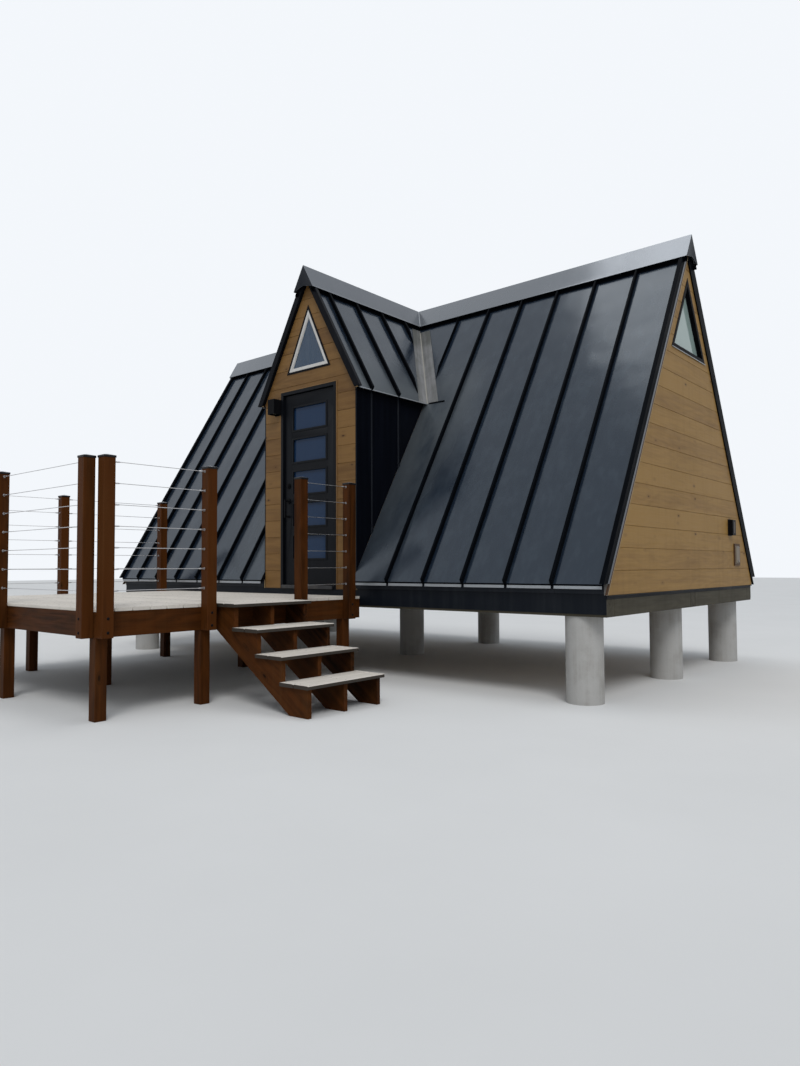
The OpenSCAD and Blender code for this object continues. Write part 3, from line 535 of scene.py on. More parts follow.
@dataclass(frozen=True)
class PanFinish:
    """The roof's painted pans, with soft streaks, a paler, rougher patch beside the entry and a bluish tint
    on their reflections, which is painted sky colour.
    """

    name: str
    colour: Colour
    streak: Colour
    # Colour of the paler patch beside the entry
    dust: Colour
    # Bluish tint on the pans' reflections: painted sky colour
    tint: Colour
    roughness: float = 0.19
    stain: float = 0.55

    def _stain(self, g: Graph, place: Socket) -> Socket:
        """Mask of the paler, rougher patch beside the entry, soft at its border and strongest under the
        valleys.
        """
        parts = g.split(place)
        across = g.math("ABSOLUTE", g.less(parts[0], PLAN.entry_x))
        near = g.step(across, PLAN.entry_half + 0.95, PLAN.entry_half + 0.25)
        front = g.step(parts[1], -0.3, -0.7)
        high = g.step(parts[2], 0.9, 2.9, 0.30, 1.0)
        top = g.step(parts[2], 3.6, 2.9)
        spots = g.step(g.noise(g.scaled(place, (3.0, 1.2, 1.2)), 1.3, 4.0, 0.5), 0.15, 0.60, 0.25, 1.0)
        return g.times(near, front, high, top, spots, self.stain)

    def material(self, groups: ShaderGroups) -> bpy.types.Material:
        """Builds the material."""
        material, g, shader, place = start_material(self.name)
        marks = {"Dust": rgba(self.streak), "Amount": 0.5, "Scale": 1.3, "Streaks": 0.75}
        paint = g.effect(groups.weather, Vector=place, Color=rgba(self.colour), **marks)
        stain = self._stain(g, place)
        sheet = g.effect(groups.sheet, Vector=place, Waves=0.6, Texture=0.3, Scuffs=0.03)
        rough = g.add(g.times(sheet["Roughness"], 0.5), self.roughness)
        rough = g.add(rough, g.times(stain, 0.45), clamp=True)
        colour = g.mix(stain, paint["Color"], rgba(self.dust))
        g.feed(shader, {"Base Color": colour, "Roughness": rough, "Normal": g.bump(sheet["Height"])})
        # Bluish reflections: painted sky colour.
        g.feed(shader, {"Specular Tint": rgba(self.tint)})
        return material


@dataclass(frozen=True)
class FlashingFinish:
    """Bare valley metal: dull and streaked away from the fold, more so on one half, darkened near the top as
    painted shade under the caps, and bright along the fold as a painted highlight.
    """

    name: str
    colour: Colour
    dirt: Colour
    bright: Colour
    reach: float = 0.16

    def material(self, groups: ShaderGroups) -> bpy.types.Material:
        """Builds the material."""
        material, g, shader, place = start_material(self.name)
        parts = g.split(place)
        across = g.math("ABSOLUTE", g.less(parts[0], PLAN.entry_x))
        run = g.add(across, g.times(parts[1], PLAN.valley_ratio))
        off = g.times(g.math("ABSOLUTE", run), 1.0 / math.hypot(1.0, PLAN.valley_ratio))
        lane = g.vector(g.times(run, 26.0), g.times(parts[2], 1.6))
        streaks = g.step(g.noise(lane, 1.0, 5.0, 0.65), 0.34, 0.68)
        patches = g.step(g.noise(place, 7.0, 5.0, 0.6), 0.35, 0.70)
        far = g.times(g.step(off, 0.01, self.reach * 0.8), g.step(run, 0.02, -0.02, 0.45, 1.0))
        # Darker near the top: painted shade under the caps.
        far = g.add(far, g.step(parts[2], 3.62, 3.86))
        worn = g.times(g.add(g.times(streaks, 0.6), g.times(far, 0.7)), 0.75)
        dull = g.add(worn, g.times(patches, 0.25), clamp=True)
        metal = g.mix(dull, rgba(self.colour), rgba(self.dirt))
        # Bright line along the fold: painted highlight.
        metal = g.mix(g.step(off, 0.008, 0.002), metal, rgba(self.bright))
        rough = g.add(g.times(dull, 0.3), 0.42)
        sheet = g.effect(groups.sheet, Vector=place, Waves=0.6, Texture=0.6, Scuffs=0.1)
        g.feed(shader, {"Base Color": metal, "Roughness": rough, "Normal": g.bump(sheet["Height"])})
        g.feed(shader, {"Metallic": 0.25, "Specular IOR Level": 0.3})
        return material


@dataclass(frozen=True)
class MineralFinish:
    """Cast or composite surfaces with pores, fine lines and stains."""

    name: str
    colour: Colour
    stain: Colour
    stain_amount: float = 0.5
    roughness: float = 0.75
    scale: float = 6.0
    lines: float = 0.0
    bump: float = 0.002
    pattern: Pattern = Pattern.OBJECT

    def material(self, groups: ShaderGroups) -> bpy.types.Material:
        """Builds the material."""
        material, g, shader, place = start_material(self.name, self.pattern)
        tone = g.node("ShaderNodeAttribute", attribute_name="tone").outputs["Fac"]
        world = g.node("ShaderNodeTexCoord").outputs["Object"]
        fine = g.noise(g.scaled(place, (2.5, 150.0, 60.0)), 1.0, 3.0, 0.6)
        pores = g.noise(place, 90.0, 5.0, 0.7)
        shade = g.add(g.times(g.less(fine, 0.5), 0.9 * self.lines), g.times(tone, 0.13))
        shade = g.add(shade, g.times(g.less(pores, 0.5), 0.35))
        darker = rgba(tuple(0.55 * c for c in self.colour))
        lit = g.mix(g.add(shade, 0.25, clamp=True), rgba(self.colour), darker)
        marks = {"Dust": rgba(self.stain), "Amount": self.stain_amount, "Scale": self.scale, "Streaks": 0.3}
        dirt = g.effect(groups.weather, Vector=world, Color=lit, **marks)
        rough = g.add(g.times(pores, 0.2), self.roughness - 0.1, clamp=True)
        height = g.add(g.times(fine, self.lines), g.times(pores, 1.0 - 0.6 * self.lines))
        normal = g.bump(height, self.bump, 0.8)
        g.feed(shader, {"Base Color": dirt["Color"], "Roughness": rough, "Normal": normal})
        g.feed(shader, {"Specular IOR Level": 0.3})
        return material


FINISHES = (
    # Pans: base, streaks, the paler patch beside the entry, and the bluish tint of the reflections, a painted
    # sky colour.
    PanFinish(
        "roof_paint", (0.008, 0.014, 0.025), (0.028, 0.040, 0.055), (0.096, 0.106, 0.108),
        (0.80, 0.91, 1.0),
    ),
    # Near-black with almost no sheen: painted shade on the seams, hems, rake boards and the strips and
    # closures in the roof's shade.
    MetalFinish(
        "seam_paint", (0.0012, 0.0018, 0.003), 0.45, specular=0.02,
        dust=(0.005, 0.007, 0.010), dust_amount=0.3,
    ),
    # Pale faces on the seams' shoulders: painted highlight.
    MetalFinish(
        "seam_edge", (0.26, 0.29, 0.33), 0.35,
        dust=(0.12, 0.13, 0.14), dust_amount=0.6, dust_scale=2.2,
    ),
    MetalFinish(
        "trim_paint", (0.0025, 0.003, 0.005), 0.42, specular=0.05,
        dust=(0.02, 0.022, 0.026), dust_amount=0.3,
    ),
    # Lighter, glossier band on the rakes' dark outer faces: painted sheen.
    MetalFinish(
        "rake_face", (0.030, 0.036, 0.048), 0.24, specular=0.5,
        dust=(0.07, 0.078, 0.09), dust_amount=0.3,
    ),
    MetalFinish(
        "band_paint", (0.012, 0.015, 0.021), 0.40, specular=0.12,
        dust=(0.035, 0.038, 0.042), dust_amount=0.4,
    ),
    MetalFinish(
        "corner_metal", (0.17, 0.16, 0.15), 0.45, 0.2, specular=0.3,
        dust=(0.09, 0.08, 0.07), dust_amount=0.5,
    ),
    MetalFinish(
        "cladding_paint", (0.0012, 0.0018, 0.004), 0.42, specular=0.04,
        dust=(0.006, 0.008, 0.014), dust_amount=0.4,
    ),
    # Lighter bevelled edges of the cladding's ribs: painted highlight.
    MetalFinish(
        "rib_edge", (0.022, 0.027, 0.036), 0.35, specular=0.3,
        dust=(0.012, 0.015, 0.02), dust_amount=0.5,
    ),
    MetalFinish(
        "skirt_paint", (0.005, 0.007, 0.011), 0.40, specular=0.10,
        dust=(0.022, 0.025, 0.028), dust_amount=0.4,
    ),
    MetalFinish(
        "cap_paint", (0.160, 0.173, 0.190), 0.25, 0.75,
        dust=(0.14, 0.147, 0.16), dust_amount=0.06, waves=0.5, texture=0.08, scuffs=0.03,
    ),
    # Darker copy of the main cap's finish for the entry's ridge cap: painted shade.
    MetalFinish(
        "cap_shaded", (0.080, 0.091, 0.107), 0.34, 0.4,
        dust=(0.13, 0.137, 0.15), dust_amount=0.3, waves=0.4, texture=0.1,
    ),
    # Darker faces at the caps' ends: painted shade.
    MetalFinish(
        "cap_end", (0.015, 0.018, 0.024), 0.42, specular=0.12,
        dust=(0.04, 0.042, 0.05), dust_amount=0.4,
    ),
    MetalFinish(
        "drip_metal", (0.33, 0.35, 0.37), 0.42, 0.4,
        dust=(0.16, 0.14, 0.12), dust_amount=0.4, streaks=0.3,
    ),
    MetalFinish(
        "window_metal", (0.0035, 0.0035, 0.005), 0.5, specular=0.03,
        dust=(0.015, 0.015, 0.015), dust_amount=0.3,
    ),
    MetalFinish(
        "white_vinyl", (0.60, 0.585, 0.56), 0.38,
        dust=(0.40, 0.36, 0.30), dust_amount=0.45, scuffs=0.05,
    ),
    MetalFinish(
        "door_paint", (0.003, 0.0037, 0.0055), 0.38, specular=0.10,
        dust=(0.012, 0.014, 0.018), dust_amount=0.3,
    ),
    MetalFinish(
        "sill_metal", (0.035, 0.035, 0.038), 0.4, 0.6,
        dust=(0.12, 0.11, 0.10), dust_amount=0.5, scuffs=0.3,
    ),
    MetalFinish(
        "black_iron", (0.004, 0.004, 0.005), 0.42, specular=0.04,
        dust=(0.02, 0.02, 0.02), dust_amount=0.3,
    ),
    MetalFinish(
        "lamp_lens", (0.10, 0.10, 0.09), 0.45, specular=0.2,
        dust=(0.16, 0.15, 0.13), dust_amount=0.4,
    ),
    MetalFinish(
        "lamp_stripe", (0.085, 0.072, 0.062), 0.40, specular=0.08,
        dust=(0.12, 0.11, 0.10), dust_amount=0.4,
    ),
    MetalFinish(
        "box_steel", (0.20, 0.165, 0.125), 0.50, specular=0.12,
        dust=(0.13, 0.11, 0.085), dust_amount=0.4,
    ),
    MetalFinish(
        "steel", (0.50, 0.50, 0.51), 0.30, 0.9,
        dust=(0.30, 0.28, 0.25), dust_amount=0.3, dust_scale=6.0, scuffs=0.2,
    ),
    MetalFinish(
        "screw_steel", (0.24, 0.23, 0.22), 0.40, 0.8,
        dust=(0.15, 0.12, 0.09), dust_amount=0.5, dust_scale=8.0,
    ),
    MetalFinish(
        "cap_black", (0.005, 0.005, 0.006), 0.38, specular=0.2,
        dust=(0.03, 0.03, 0.03), dust_amount=0.3,
    ),
    MetalFinish(
        "cap_panel", (0.13, 0.14, 0.16), 0.25, 0.2,
        dust=(0.28, 0.27, 0.25), dust_amount=0.5, dust_scale=5.0,
    ),
    # Dark colour for the streaks, the darker half and the painted shade at the top; bright colour for the
    # painted highlight on the fold.
    FlashingFinish("flashing_metal", (0.27, 0.27, 0.275), (0.095, 0.098, 0.092), (0.38, 0.37, 0.33)),
    TimberFinish(
        "pine_gable", (0.268, 0.153, 0.040), (0.140, 0.068, 0.016), 0.55, 0.55, 0.85,
        grime=(0.14, 0.085, 0.035), grime_amount=0.25, specular=0.22,
    ),
    # Darker copy of the gable's pine for the entry's boards: painted shade.
    TimberFinish(
        "pine_entry", (0.200, 0.107, 0.033), (0.092, 0.042, 0.0115), 0.60, 0.52, 0.95,
        grime=(0.10, 0.055, 0.022), grime_amount=0.2, specular=0.22,
    ),
    TimberFinish("pine_trim", (0.22, 0.125, 0.048), (0.13, 0.065, 0.024), 0.1, 0.55, specular=0.2),
    # Pale strip along the boards' edge under the rakes: painted highlight.
    TimberFinish("pale_trim", (0.42, 0.34, 0.21), (0.28, 0.20, 0.11), 0.05, 0.55, specular=0.2),
    TimberFinish("brown_trim", (0.075, 0.040, 0.020), (0.035, 0.017, 0.009), 0.05, 0.55, specular=0.1),
    TimberFinish(
        "stained_pine", (0.068, 0.0205, 0.0040), (0.011, 0.0042, 0.0014), 0.25, 0.50, 1.25,
        grime=(0.095, 0.042, 0.014), grime_amount=0.30, specular=0.05,
    ),
    TimberFinish(
        "treated_pine", (0.062, 0.055, 0.038), (0.026, 0.022, 0.015), 0.22, 0.65,
        grime=(0.040, 0.036, 0.028), grime_amount=0.5, specular=0.12,
    ),
    TimberFinish(
        "lining_ply", (0.50, 0.36, 0.19), (0.36, 0.23, 0.10), 0.1, 0.6, 0.6,
        pattern=Pattern.OBJECT,
    ),
    TimberFinish(
        "floor_ply", (0.42, 0.29, 0.15), (0.28, 0.17, 0.075), 0.1, 0.45, 0.7,
        pattern=Pattern.OBJECT,
    ),
    # Darker sides of the stair treads: painted shade.
    MineralFinish(
        "tread_edge", (0.040, 0.032, 0.025), (0.020, 0.016, 0.012), 0.40, 0.7, 2.2, 1.0,
        0.001, Pattern.GRAIN,
    ),
    MineralFinish(
        "deck_composite", (0.72, 0.67, 0.60), (0.40, 0.35, 0.29), 0.35, 0.62, 2.2, 1.0,
        0.0012, Pattern.GRAIN,
    ),
    MineralFinish("concrete", (0.46, 0.45, 0.43), (0.22, 0.20, 0.17), 0.7, 0.85, 3.0),
    # Pane colours: painted light in the gable panes' pale green, painted reflection in the transom's and door
    # lites' blue.
    GlassFinish("gable_glass", (0.33, 0.43, 0.40), 0.25),
    GlassFinish("transom_glass", (0.035, 0.085, 0.16), 0.45),
    GlassFinish("lite_glass", (0.013, 0.035, 0.084), 0.10, 0.05, (0.03, 0.05, 0.09), 0.2, 0.14),
)


class Palette:
    """All finishes of the cabin, by name."""

    def __init__(self) -> None:
        groups = ShaderGroups()
        self._made = {finish.name: finish.material(groups) for finish in FINISHES}

    def __getitem__(self, name: str) -> bpy.types.Material:
        """The material of a finish."""
        return self._made[name]


# Meshes


def linked(name: str, data: Any) -> bpy.types.Object:
    """Makes an object of a mesh, camera or light and puts it in the scene."""
    made = bpy.data.objects.new(name, data)
    bpy.context.scene.collection.objects.link(made)
    return made


def linked_mesh(name: str, work: bmesh.types.BMesh) -> bpy.types.Object:
    """Makes an object of a worked mesh, which is freed."""
    mesh = bpy.data.meshes.new(name)
    work.to_mesh(mesh)
    work.free()
    return linked(name, mesh)


class Shape:
    """Solids of one piece, gathered in one mesh in the cabin's own place."""

    def __init__(self) -> None:
        self.mesh = bmesh.new()

    def _loop(self, outline: Outline, axis: Axis, at: float) -> list[bmesh.types.BMVert]:
        """Adds the corners of an outline at a place along an axis."""
        along, first, second = axis.value
        loop = []
        for a, b in outline:
            place = [0.0, 0.0, 0.0]
            place[along], place[first], place[second] = at, a, b
            loop.append(self.mesh.verts.new(place))
        return loop

    def draw(self, outline: Outline, axis: Axis, start: float, end: float) -> "Shape":
        """Draws an outline out into a closed bar.

        Args:
            outline: Corners on the axis' two other axes.
            axis: Direction of the bar.
            start: First end along the axis.
            end: Second end along the axis.

        Returns:
            This shape.
        """
        one, two = (self._loop(outline, axis, at) for at in (start, end))
        for i in range(len(outline)):
            j = (i + 1) % len(outline)
            self.mesh.faces.new((one[i], one[j], two[j], two[i]))
        self.mesh.faces.new(one[::-1])
        self.mesh.faces.new(two)
        return self

    def box(self, low: Point, high: Point) -> "Shape":
        """Adds a box between two corners."""
        return self.draw(rect(low[0], low[1], high[0], high[1]), Axis.Z, low[2], high[2])

    def bar(self, low: Point, high: Point, axis: Axis, edge: float) -> "Shape":
        """Adds a box whose edges along the axis are taken off."""
        along, first, second = axis.value
        a0, b0, a1, b1 = low[first], low[second], high[first], high[second]
        outline = [(a0 + edge, b0), (a1 - edge, b0), (a1, b0 + edge), (a1, b1 - edge)]
        outline += [(a1 - edge, b1), (a0 + edge, b1), (a0, b1 - edge), (a0, b0 + edge)]
        return self.draw(outline, axis, low[along], high[along])

    def ring(self, outer: Outline, inner: Outline, axis: Axis, start: float, end: float) -> "Shape":
        """Adds a closed frame between two outlines with as many corners."""
        loops = [self._loop(outline, axis, at) for at in (start, end) for outline in (outer, inner)]
        for i in range(len(outer)):
            j = (i + 1) % len(outer)
            for one, two in ((0, 2), (3, 1), (1, 0), (2, 3)):
                self.mesh.faces.new((loops[one][i], loops[one][j], loops[two][j], loops[two][i]))
        return self

    def rod(
        self, start: Point, end: Point, radius: float, sides: int, tip: float | None = None
    ) -> "Shape":
        """Adds a round bar, or a cone where a second radius is given."""
        a, b = Vector(start), Vector(end)
        place = Matrix.Translation((a + b) / 2) @ (b - a).to_track_quat("Z", "Y").to_matrix().to_4x4()
        tip = radius if tip is None else tip
        sizes = {"radius1": radius, "radius2": tip, "depth": (b - a).length, "matrix": place}
        bmesh.ops.create_cone(self.mesh, cap_ends=True, segments=sides, **sizes)
        return self

    def part(self, name: str) -> bpy.types.Object:
        """Makes a loose object of the shape, for a tree or a cut to use."""
        bmesh.ops.recalc_face_normals(self.mesh, faces=self.mesh.faces)
        return linked_mesh(name, self.mesh)

    def piece(self, name: str, material: bpy.types.Material) -> bpy.types.Object:
        """Makes a piece of the shape with one material."""
        made = self.part(name)
        made.data.materials.append(material)
        return made


def settle_modifiers(host: bpy.types.Object) -> bpy.types.Object:
    """Turns an object's modifiers into its plain mesh."""
    graph = bpy.context.evaluated_depsgraph_get()
    mesh = bpy.data.meshes.new_from_object(host.evaluated_get(graph), depsgraph=graph)
    host.modifiers.clear()
    host.data = mesh
    return host


def discard(*objects: bpy.types.Object) -> None:
    """Removes helper objects."""
    for one in objects:
        bpy.data.objects.remove(one)


def carve(host: bpy.types.Object, tool: Shape, operation: str = "DIFFERENCE") -> bpy.types.Object:
    """Cuts a piece with a shape, or keeps only what both share."""
    cutter = tool.part("cutter")
    cut = host.modifiers.new("carve", "BOOLEAN")
    cut.operation, cut.solver, cut.object = operation, "EXACT", cutter
    settle_modifiers(host)
    discard(cutter)
    return host


def loose_parts(mesh: bpy.types.Mesh) -> list[list[int]]:
    """Vertex numbers of each part of a mesh that hangs together."""
    parent = list(range(len(mesh.vertices)))

    def root(i: int) -> int:
        """Number that stands for a vertex's part."""
        while parent[i] != i:
            parent[i] = parent[parent[i]]
            i = parent[i]
        return i

    for edge in mesh.edges:
        a, b = (root(v) for v in edge.vertices)
        if a != b:
            parent[max(a, b)] = min(a, b)
    found: dict[int, list[int]] = {}
    for i in range(len(parent)):
        found.setdefault(root(i), []).append(i)
    return list(found.values())


def main_direction(places: Sequence[Vector]) -> Vector:
    """Longest direction of a set of points, found by repeated weighing."""
    middle = sum(places, Vector()) / len(places)
    axis = max((places[0] - p for p in places), key=lambda v: v.length).normalized()
    for _ in range(12):
        axis = sum(((p - middle) * (p - middle).dot(axis) for p in places), Vector())
        axis.normalize()
    return axis


def stamp_grain(piece: bpy.types.Object, seed: int, along: Point | None = None) -> bpy.types.Object:
    """Gives each loose part the place of its grain and a tone of its own.

    Args:
        piece: Piece of timber or deck boards.
        seed: Number that fixes the tones and the grain.
        along: Direction of the grain, or None for each part's longest direction.

    Returns:
        The piece, with a grain and a tone attribute.
    """
    mesh = piece.data
    dice = random.Random(seed)
    mesh.attributes.new("grain", "FLOAT_VECTOR", "POINT")
    mesh.attributes.new("tone", "FLOAT", "POINT")
    grain, tone = mesh.attributes["grain"], mesh.attributes["tone"]
    for part in loose_parts(mesh):
        axis = Vector(along) if along else main_direction([mesh.vertices[i].co for i in part])
        axis.normalize()
        side = axis.cross(Vector((0, 0, 1)) if abs(axis.z) < 0.9 else Vector((0, 1, 0))).normalized()
        up = side.cross(axis)
        shift = Vector((dice.uniform(0, 60), dice.uniform(0, 9), dice.uniform(0, 9)))
        shade = dice.uniform(-1, 1)
        for i in part:
            co = mesh.vertices[i].co
            grain.data[i].vector = (co.dot(axis) + shift.x, co.dot(side) + shift.y, co.dot(up) + shift.z)
            tone.data[i].value = shade
    return piece


def ease_edges(piece: bpy.types.Object, width: float, angle: float = 32.0) -> bpy.types.Object:
    """Bevels the edges of a piece that are sharper than an angle."""
    bevel = piece.modifiers.new("eased", "BEVEL")
    bevel.width, bevel.segments, bevel.limit_method = width, 1, "ANGLE"
    bevel.angle_limit = math.radians(angle)
    return settle_modifiers(piece)


def soften(node: str, name: str, material: bpy.types.Material, edge: float) -> bpy.types.Object:
    """Copies a node of the model as one clean mesh with its edges eased.

    Args:
        node: Name of the node.
        name: Name of the piece.
        material: Finish of the piece.
        edge: Width of the eased edges, or 0 to leave them sharp.

    Returns:
        The new piece.
    """
    work = bmesh.new()
    work.from_mesh(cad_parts[node].data)
    bmesh.ops.remove_doubles(work, verts=work.verts, dist=1e-5)
    bmesh.ops.dissolve_limit(work, angle_limit=math.radians(0.5), verts=work.verts, edges=work.edges)
    made = linked_mesh(name, work)
    made.data.materials.clear()
    made.data.materials.append(material)
    return smooth_round(ease_edges(made, edge) if edge else made)


def smooth_round(piece: bpy.types.Object, angle: float = 32.0) -> bpy.types.Object:
    """Shades round faces smooth and leaves edges over an angle sharp."""
    piece.data.polygons.foreach_set("use_smooth", [True] * len(piece.data.polygons))
    piece.data.set_sharp_from_angle(angle=math.radians(angle))
    return piece


def joined(name: str, pieces: Sequence[bpy.types.Object]) -> bpy.types.Object:
    """Joins objects with their materials into one."""
    work = bmesh.new()
    materials: list[bpy.types.Material] = []
    for one in pieces:
        start = len(work.faces)
        work.from_mesh(one.data)
        work.faces.ensure_lookup_table()
        slots = []
        for material in one.data.materials:
            if material not in materials:
                materials.append(material)
            slots.append(materials.index(material))
        for face in work.faces[start:]:
            face.material_index = slots[face.material_index] if slots else 0
    discard(*pieces)
    made = linked_mesh(name, work)
    for material in materials:
        made.data.materials.append(material)
    return made


def turned(piece: bpy.types.Object, matrix: Matrix) -> bpy.types.Object:
    """Moves a piece inside its own mesh."""
    piece.data.transform(matrix)
    if matrix.determinant() < 0:
        piece.data.flip_normals()
    return piece


def with_twin(piece: bpy.types.Object) -> bpy.types.Object:
    """Joins a gable's piece with its copy on the other gable, half a turn round."""
    name = piece.name
    twin = linked(name, piece.data.copy())
    both = joined(name, [piece, turned(twin, Matrix.Rotation(math.pi, 4, "Z"))])
    both.name = name
    return both


def shade(piece: bpy.types.Object, material: bpy.types.Material, where: Callable[[Any], bool]) -> None:
    """Gives the faces that pass a test a second finish."""
    piece.data.materials.append(material)
    for face in piece.data.polygons:
        if where(face):
            face.material_index = 1


def slice_off(
    piece: bpy.types.Object, point: Point, normal: Point,
    where: Callable[[Vector], bool] | None = None, close: bool = False, keep: bool = False,
) -> None:
    """Cuts away what lies behind a plane.

    Args:
        piece: Piece that is cut.
        point: A point on the plane.
        normal: Direction that is kept.
        where: Test of a face's middle, for a cut of some faces only.
        close: Whether the cut is filled.
        keep: Whether both sides stay, with a line of edges between them.
    """
    work = bmesh.new()
    work.from_mesh(piece.data)
    faces = [f for f in work.faces if where is None or where(f.calc_center_median())]
    edges = {e for f in faces for e in f.edges}
    verts = {v for f in faces for v in f.verts}
    geometry = [*faces, *edges, *verts]
    cut = bmesh.ops.bisect_plane(
        work, geom=geometry, dist=1e-6, plane_co=point, plane_no=normal, clear_inner=not keep
    )
    if close:
        loop = [e for e in cut["geom_cut"] if isinstance(e, bmesh.types.BMEdge)]
        bmesh.ops.holes_fill(work, edges=[e for e in loop if e.is_boundary], sides=0)
    work.to_mesh(piece.data)
    work.free()


def settle(piece: bpy.types.Object, slot: str, *nodes: str, body: Body = Body.CABIN) -> bpy.types.Object:
    """Ties a finished piece to its body, hides the nodes that it stands for and logs it."""
    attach(piece, body.value)
    if nodes:
        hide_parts(*nodes)
    LOG.info("%s: %d faces on %s", piece.name, len(piece.data.polygons), body.value)
    return piece


def dress(material: bpy.types.Material, *nodes: str) -> None:
    """Gives nodes of the model, which stay as they are, their finish."""
    for node in nodes:
        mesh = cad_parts[node].data
        mesh.materials.clear()
        mesh.materials.append(material)
        LOG.info("%s: kept with finish %s", node, material.name)


# Geometry trees


class GrowTrees:
    """Geometry Nodes trees for what repeats and for the roof's rippled sheets."""

    def __init__(self) -> None:
        self.row = self._row()
        self.sheet = self._sheet()
        self.studs = self._studs()

    @staticmethod
    def _end(g: Graph, geometry: Any, material: Any, out: bpy.types.Node) -> None:
        """Ends a tree with plain geometry and its material."""
        real = g.node("GeometryNodeRealizeInstances", {"Geometry": geometry}).outputs[0]
        done = g.node("GeometryNodeSetMaterial", {"Geometry": real, "Material": material}).outputs[0]
        g.feed(out, {0: done})

    def _row(self) -> bpy.types.NodeTree:
        """Repeats a part in a row, each copy a little out of place."""
        inputs = {"Part": "Object", "Count": 4, "Step": (0.0, 0.0, 0.1)}
        inputs |= {"Jitter": ORIGIN, "Seed": 1, "Material": "Material"}
        tree, g, given, out = new_tree("GeometryNodeTree", "repeat_row", inputs, {"Geometry": "Geometry"})
        part = g.node("GeometryNodeObjectInfo", {"Object": given["Part"]}, transform_space="ORIGINAL").outputs
        line = g.node("GeometryNodeMeshLine", {"Count": given["Count"], "Offset": given["Step"]}).outputs[0]
        row = g.node("GeometryNodeInstanceOnPoints", {"Points": line, "Instance": part["Geometry"]})
        ends = {0: g.scaled(given["Jitter"], (-1.0, -1.0, -1.0)), 1: given["Jitter"], "Seed": given["Seed"]}
        dice = g.node("FunctionNodeRandomValue", ends, data_type="FLOAT_VECTOR").outputs[0]
        moved = g.node("GeometryNodeTranslateInstances", {"Instances": row.outputs[0], "Translation": dice})
        self._end(g, moved.outputs[0], given["Material"], out)
        return tree

    def _sheet(self) -> bpy.types.NodeTree:
        """A sheet on X and Y whose bays between the seams bulge and ripple slightly."""
        inputs = {"Width": 3.0, "Length": 3.8, "Columns": 60, "Lines": 60, "Pitch": 0.43, "Phase": 0.0}
        inputs |= {"Ripple": 0.002, "Shift": 0.0, "Material": "Material"}
        tree, g, given, out = new_tree("GeometryNodeTree", "rippled_sheet", inputs, {"Geometry": "Geometry"})
        sizes = {"Size X": given["Width"], "Size Y": given["Length"]}
        sizes |= {"Vertices X": given["Columns"], "Vertices Y": given["Lines"]}
        grid = g.node("GeometryNodeMeshGrid", sizes).outputs[0]
        half = g.vector(g.times(given["Width"], 0.5), g.times(given["Length"], 0.5))
        corner = g.node("GeometryNodeTransform", {"Geometry": grid, "Translation": half}).outputs[0]
        place = g.node("GeometryNodeInputPosition").outputs[0]
        turns = g.math("DIVIDE", g.less(g.split(place)[0], given["Phase"]), given["Pitch"])
        bay = g.math("POWER", g.math("ABSOLUTE", g.math("SINE", g.times(turns, math.pi))), 0.7)
        offset = g.vector(given["Shift"], 0.0, given["Shift"])
        seen = {0: g.scaled(place, (1.3, 2.4, 1.0)), 1: offset}
        seen = g.node("ShaderNodeVectorMath", seen, operation="ADD").outputs[0]
        noise = g.less(g.noise(seen, 1.0, 2.0, 0.5), 0.42)
        rise = g.times(g.times(bay, noise), g.times(given["Ripple"], 4.0))
        waved = g.node("GeometryNodeSetPosition", {"Geometry": corner, "Offset": g.vector(z=rise)}).outputs[0]
        self._end(g, waved, given["Material"], out)
        return tree

    def _studs(self) -> bpy.types.NodeTree:
        """Screw and bolt heads on the points of the host's mesh, turned to face one way."""
        inputs = {"Points": "Geometry", "Radius": 0.004, "Height": 0.002, "Sides": 10}
        inputs |= {"Facing": (0.0, 0.0, 1.0), "Material": "Material"}
        tree, g, given, out = new_tree("GeometryNodeTree", "stud_heads", inputs, {"Geometry": "Geometry"})
        cone = {"Vertices": given["Sides"], "Radius Top": g.times(given["Radius"], 0.55)}
        cone |= {"Radius Bottom": given["Radius"], "Depth": given["Height"]}
        head = g.node("GeometryNodeMeshCone", cone).outputs[0]
        turn = g.node("FunctionNodeAlignRotationToVector", {"Vector": given["Facing"]}, axis="Z").outputs[0]
        spots = {"Points": given["Points"], "Instance": head, "Rotation": turn}
        heads = g.node("GeometryNodeInstanceOnPoints", spots).outputs[0]
        self._end(g, heads, given["Material"], out)
        return tree

    @staticmethod
    def grow(
        name: str, tree: bpy.types.NodeTree, values: dict[str, Any], host: Any = None
    ) -> bpy.types.Object:
        """Runs a tree and keeps its result as a plain mesh.

        Args:
            name: Name of the new piece.
            tree: Geometry Nodes tree.
            values: Values of the tree's inputs, by name.
            host: Mesh with points that the tree works on, if it needs them.

        Returns:
            The new piece.
        """
        made = linked(name, host or bpy.data.meshes.new(name))
        grown = made.modifiers.new("grow", "NODES")
        grown.node_group = tree
        for item in tree.interface.items_tree:
            if item.item_type == "SOCKET" and item.in_out == "INPUT" and item.name in values:
                grown[item.identifier] = values[item.name]
        return settle_modifiers(made)


# Camera and studio


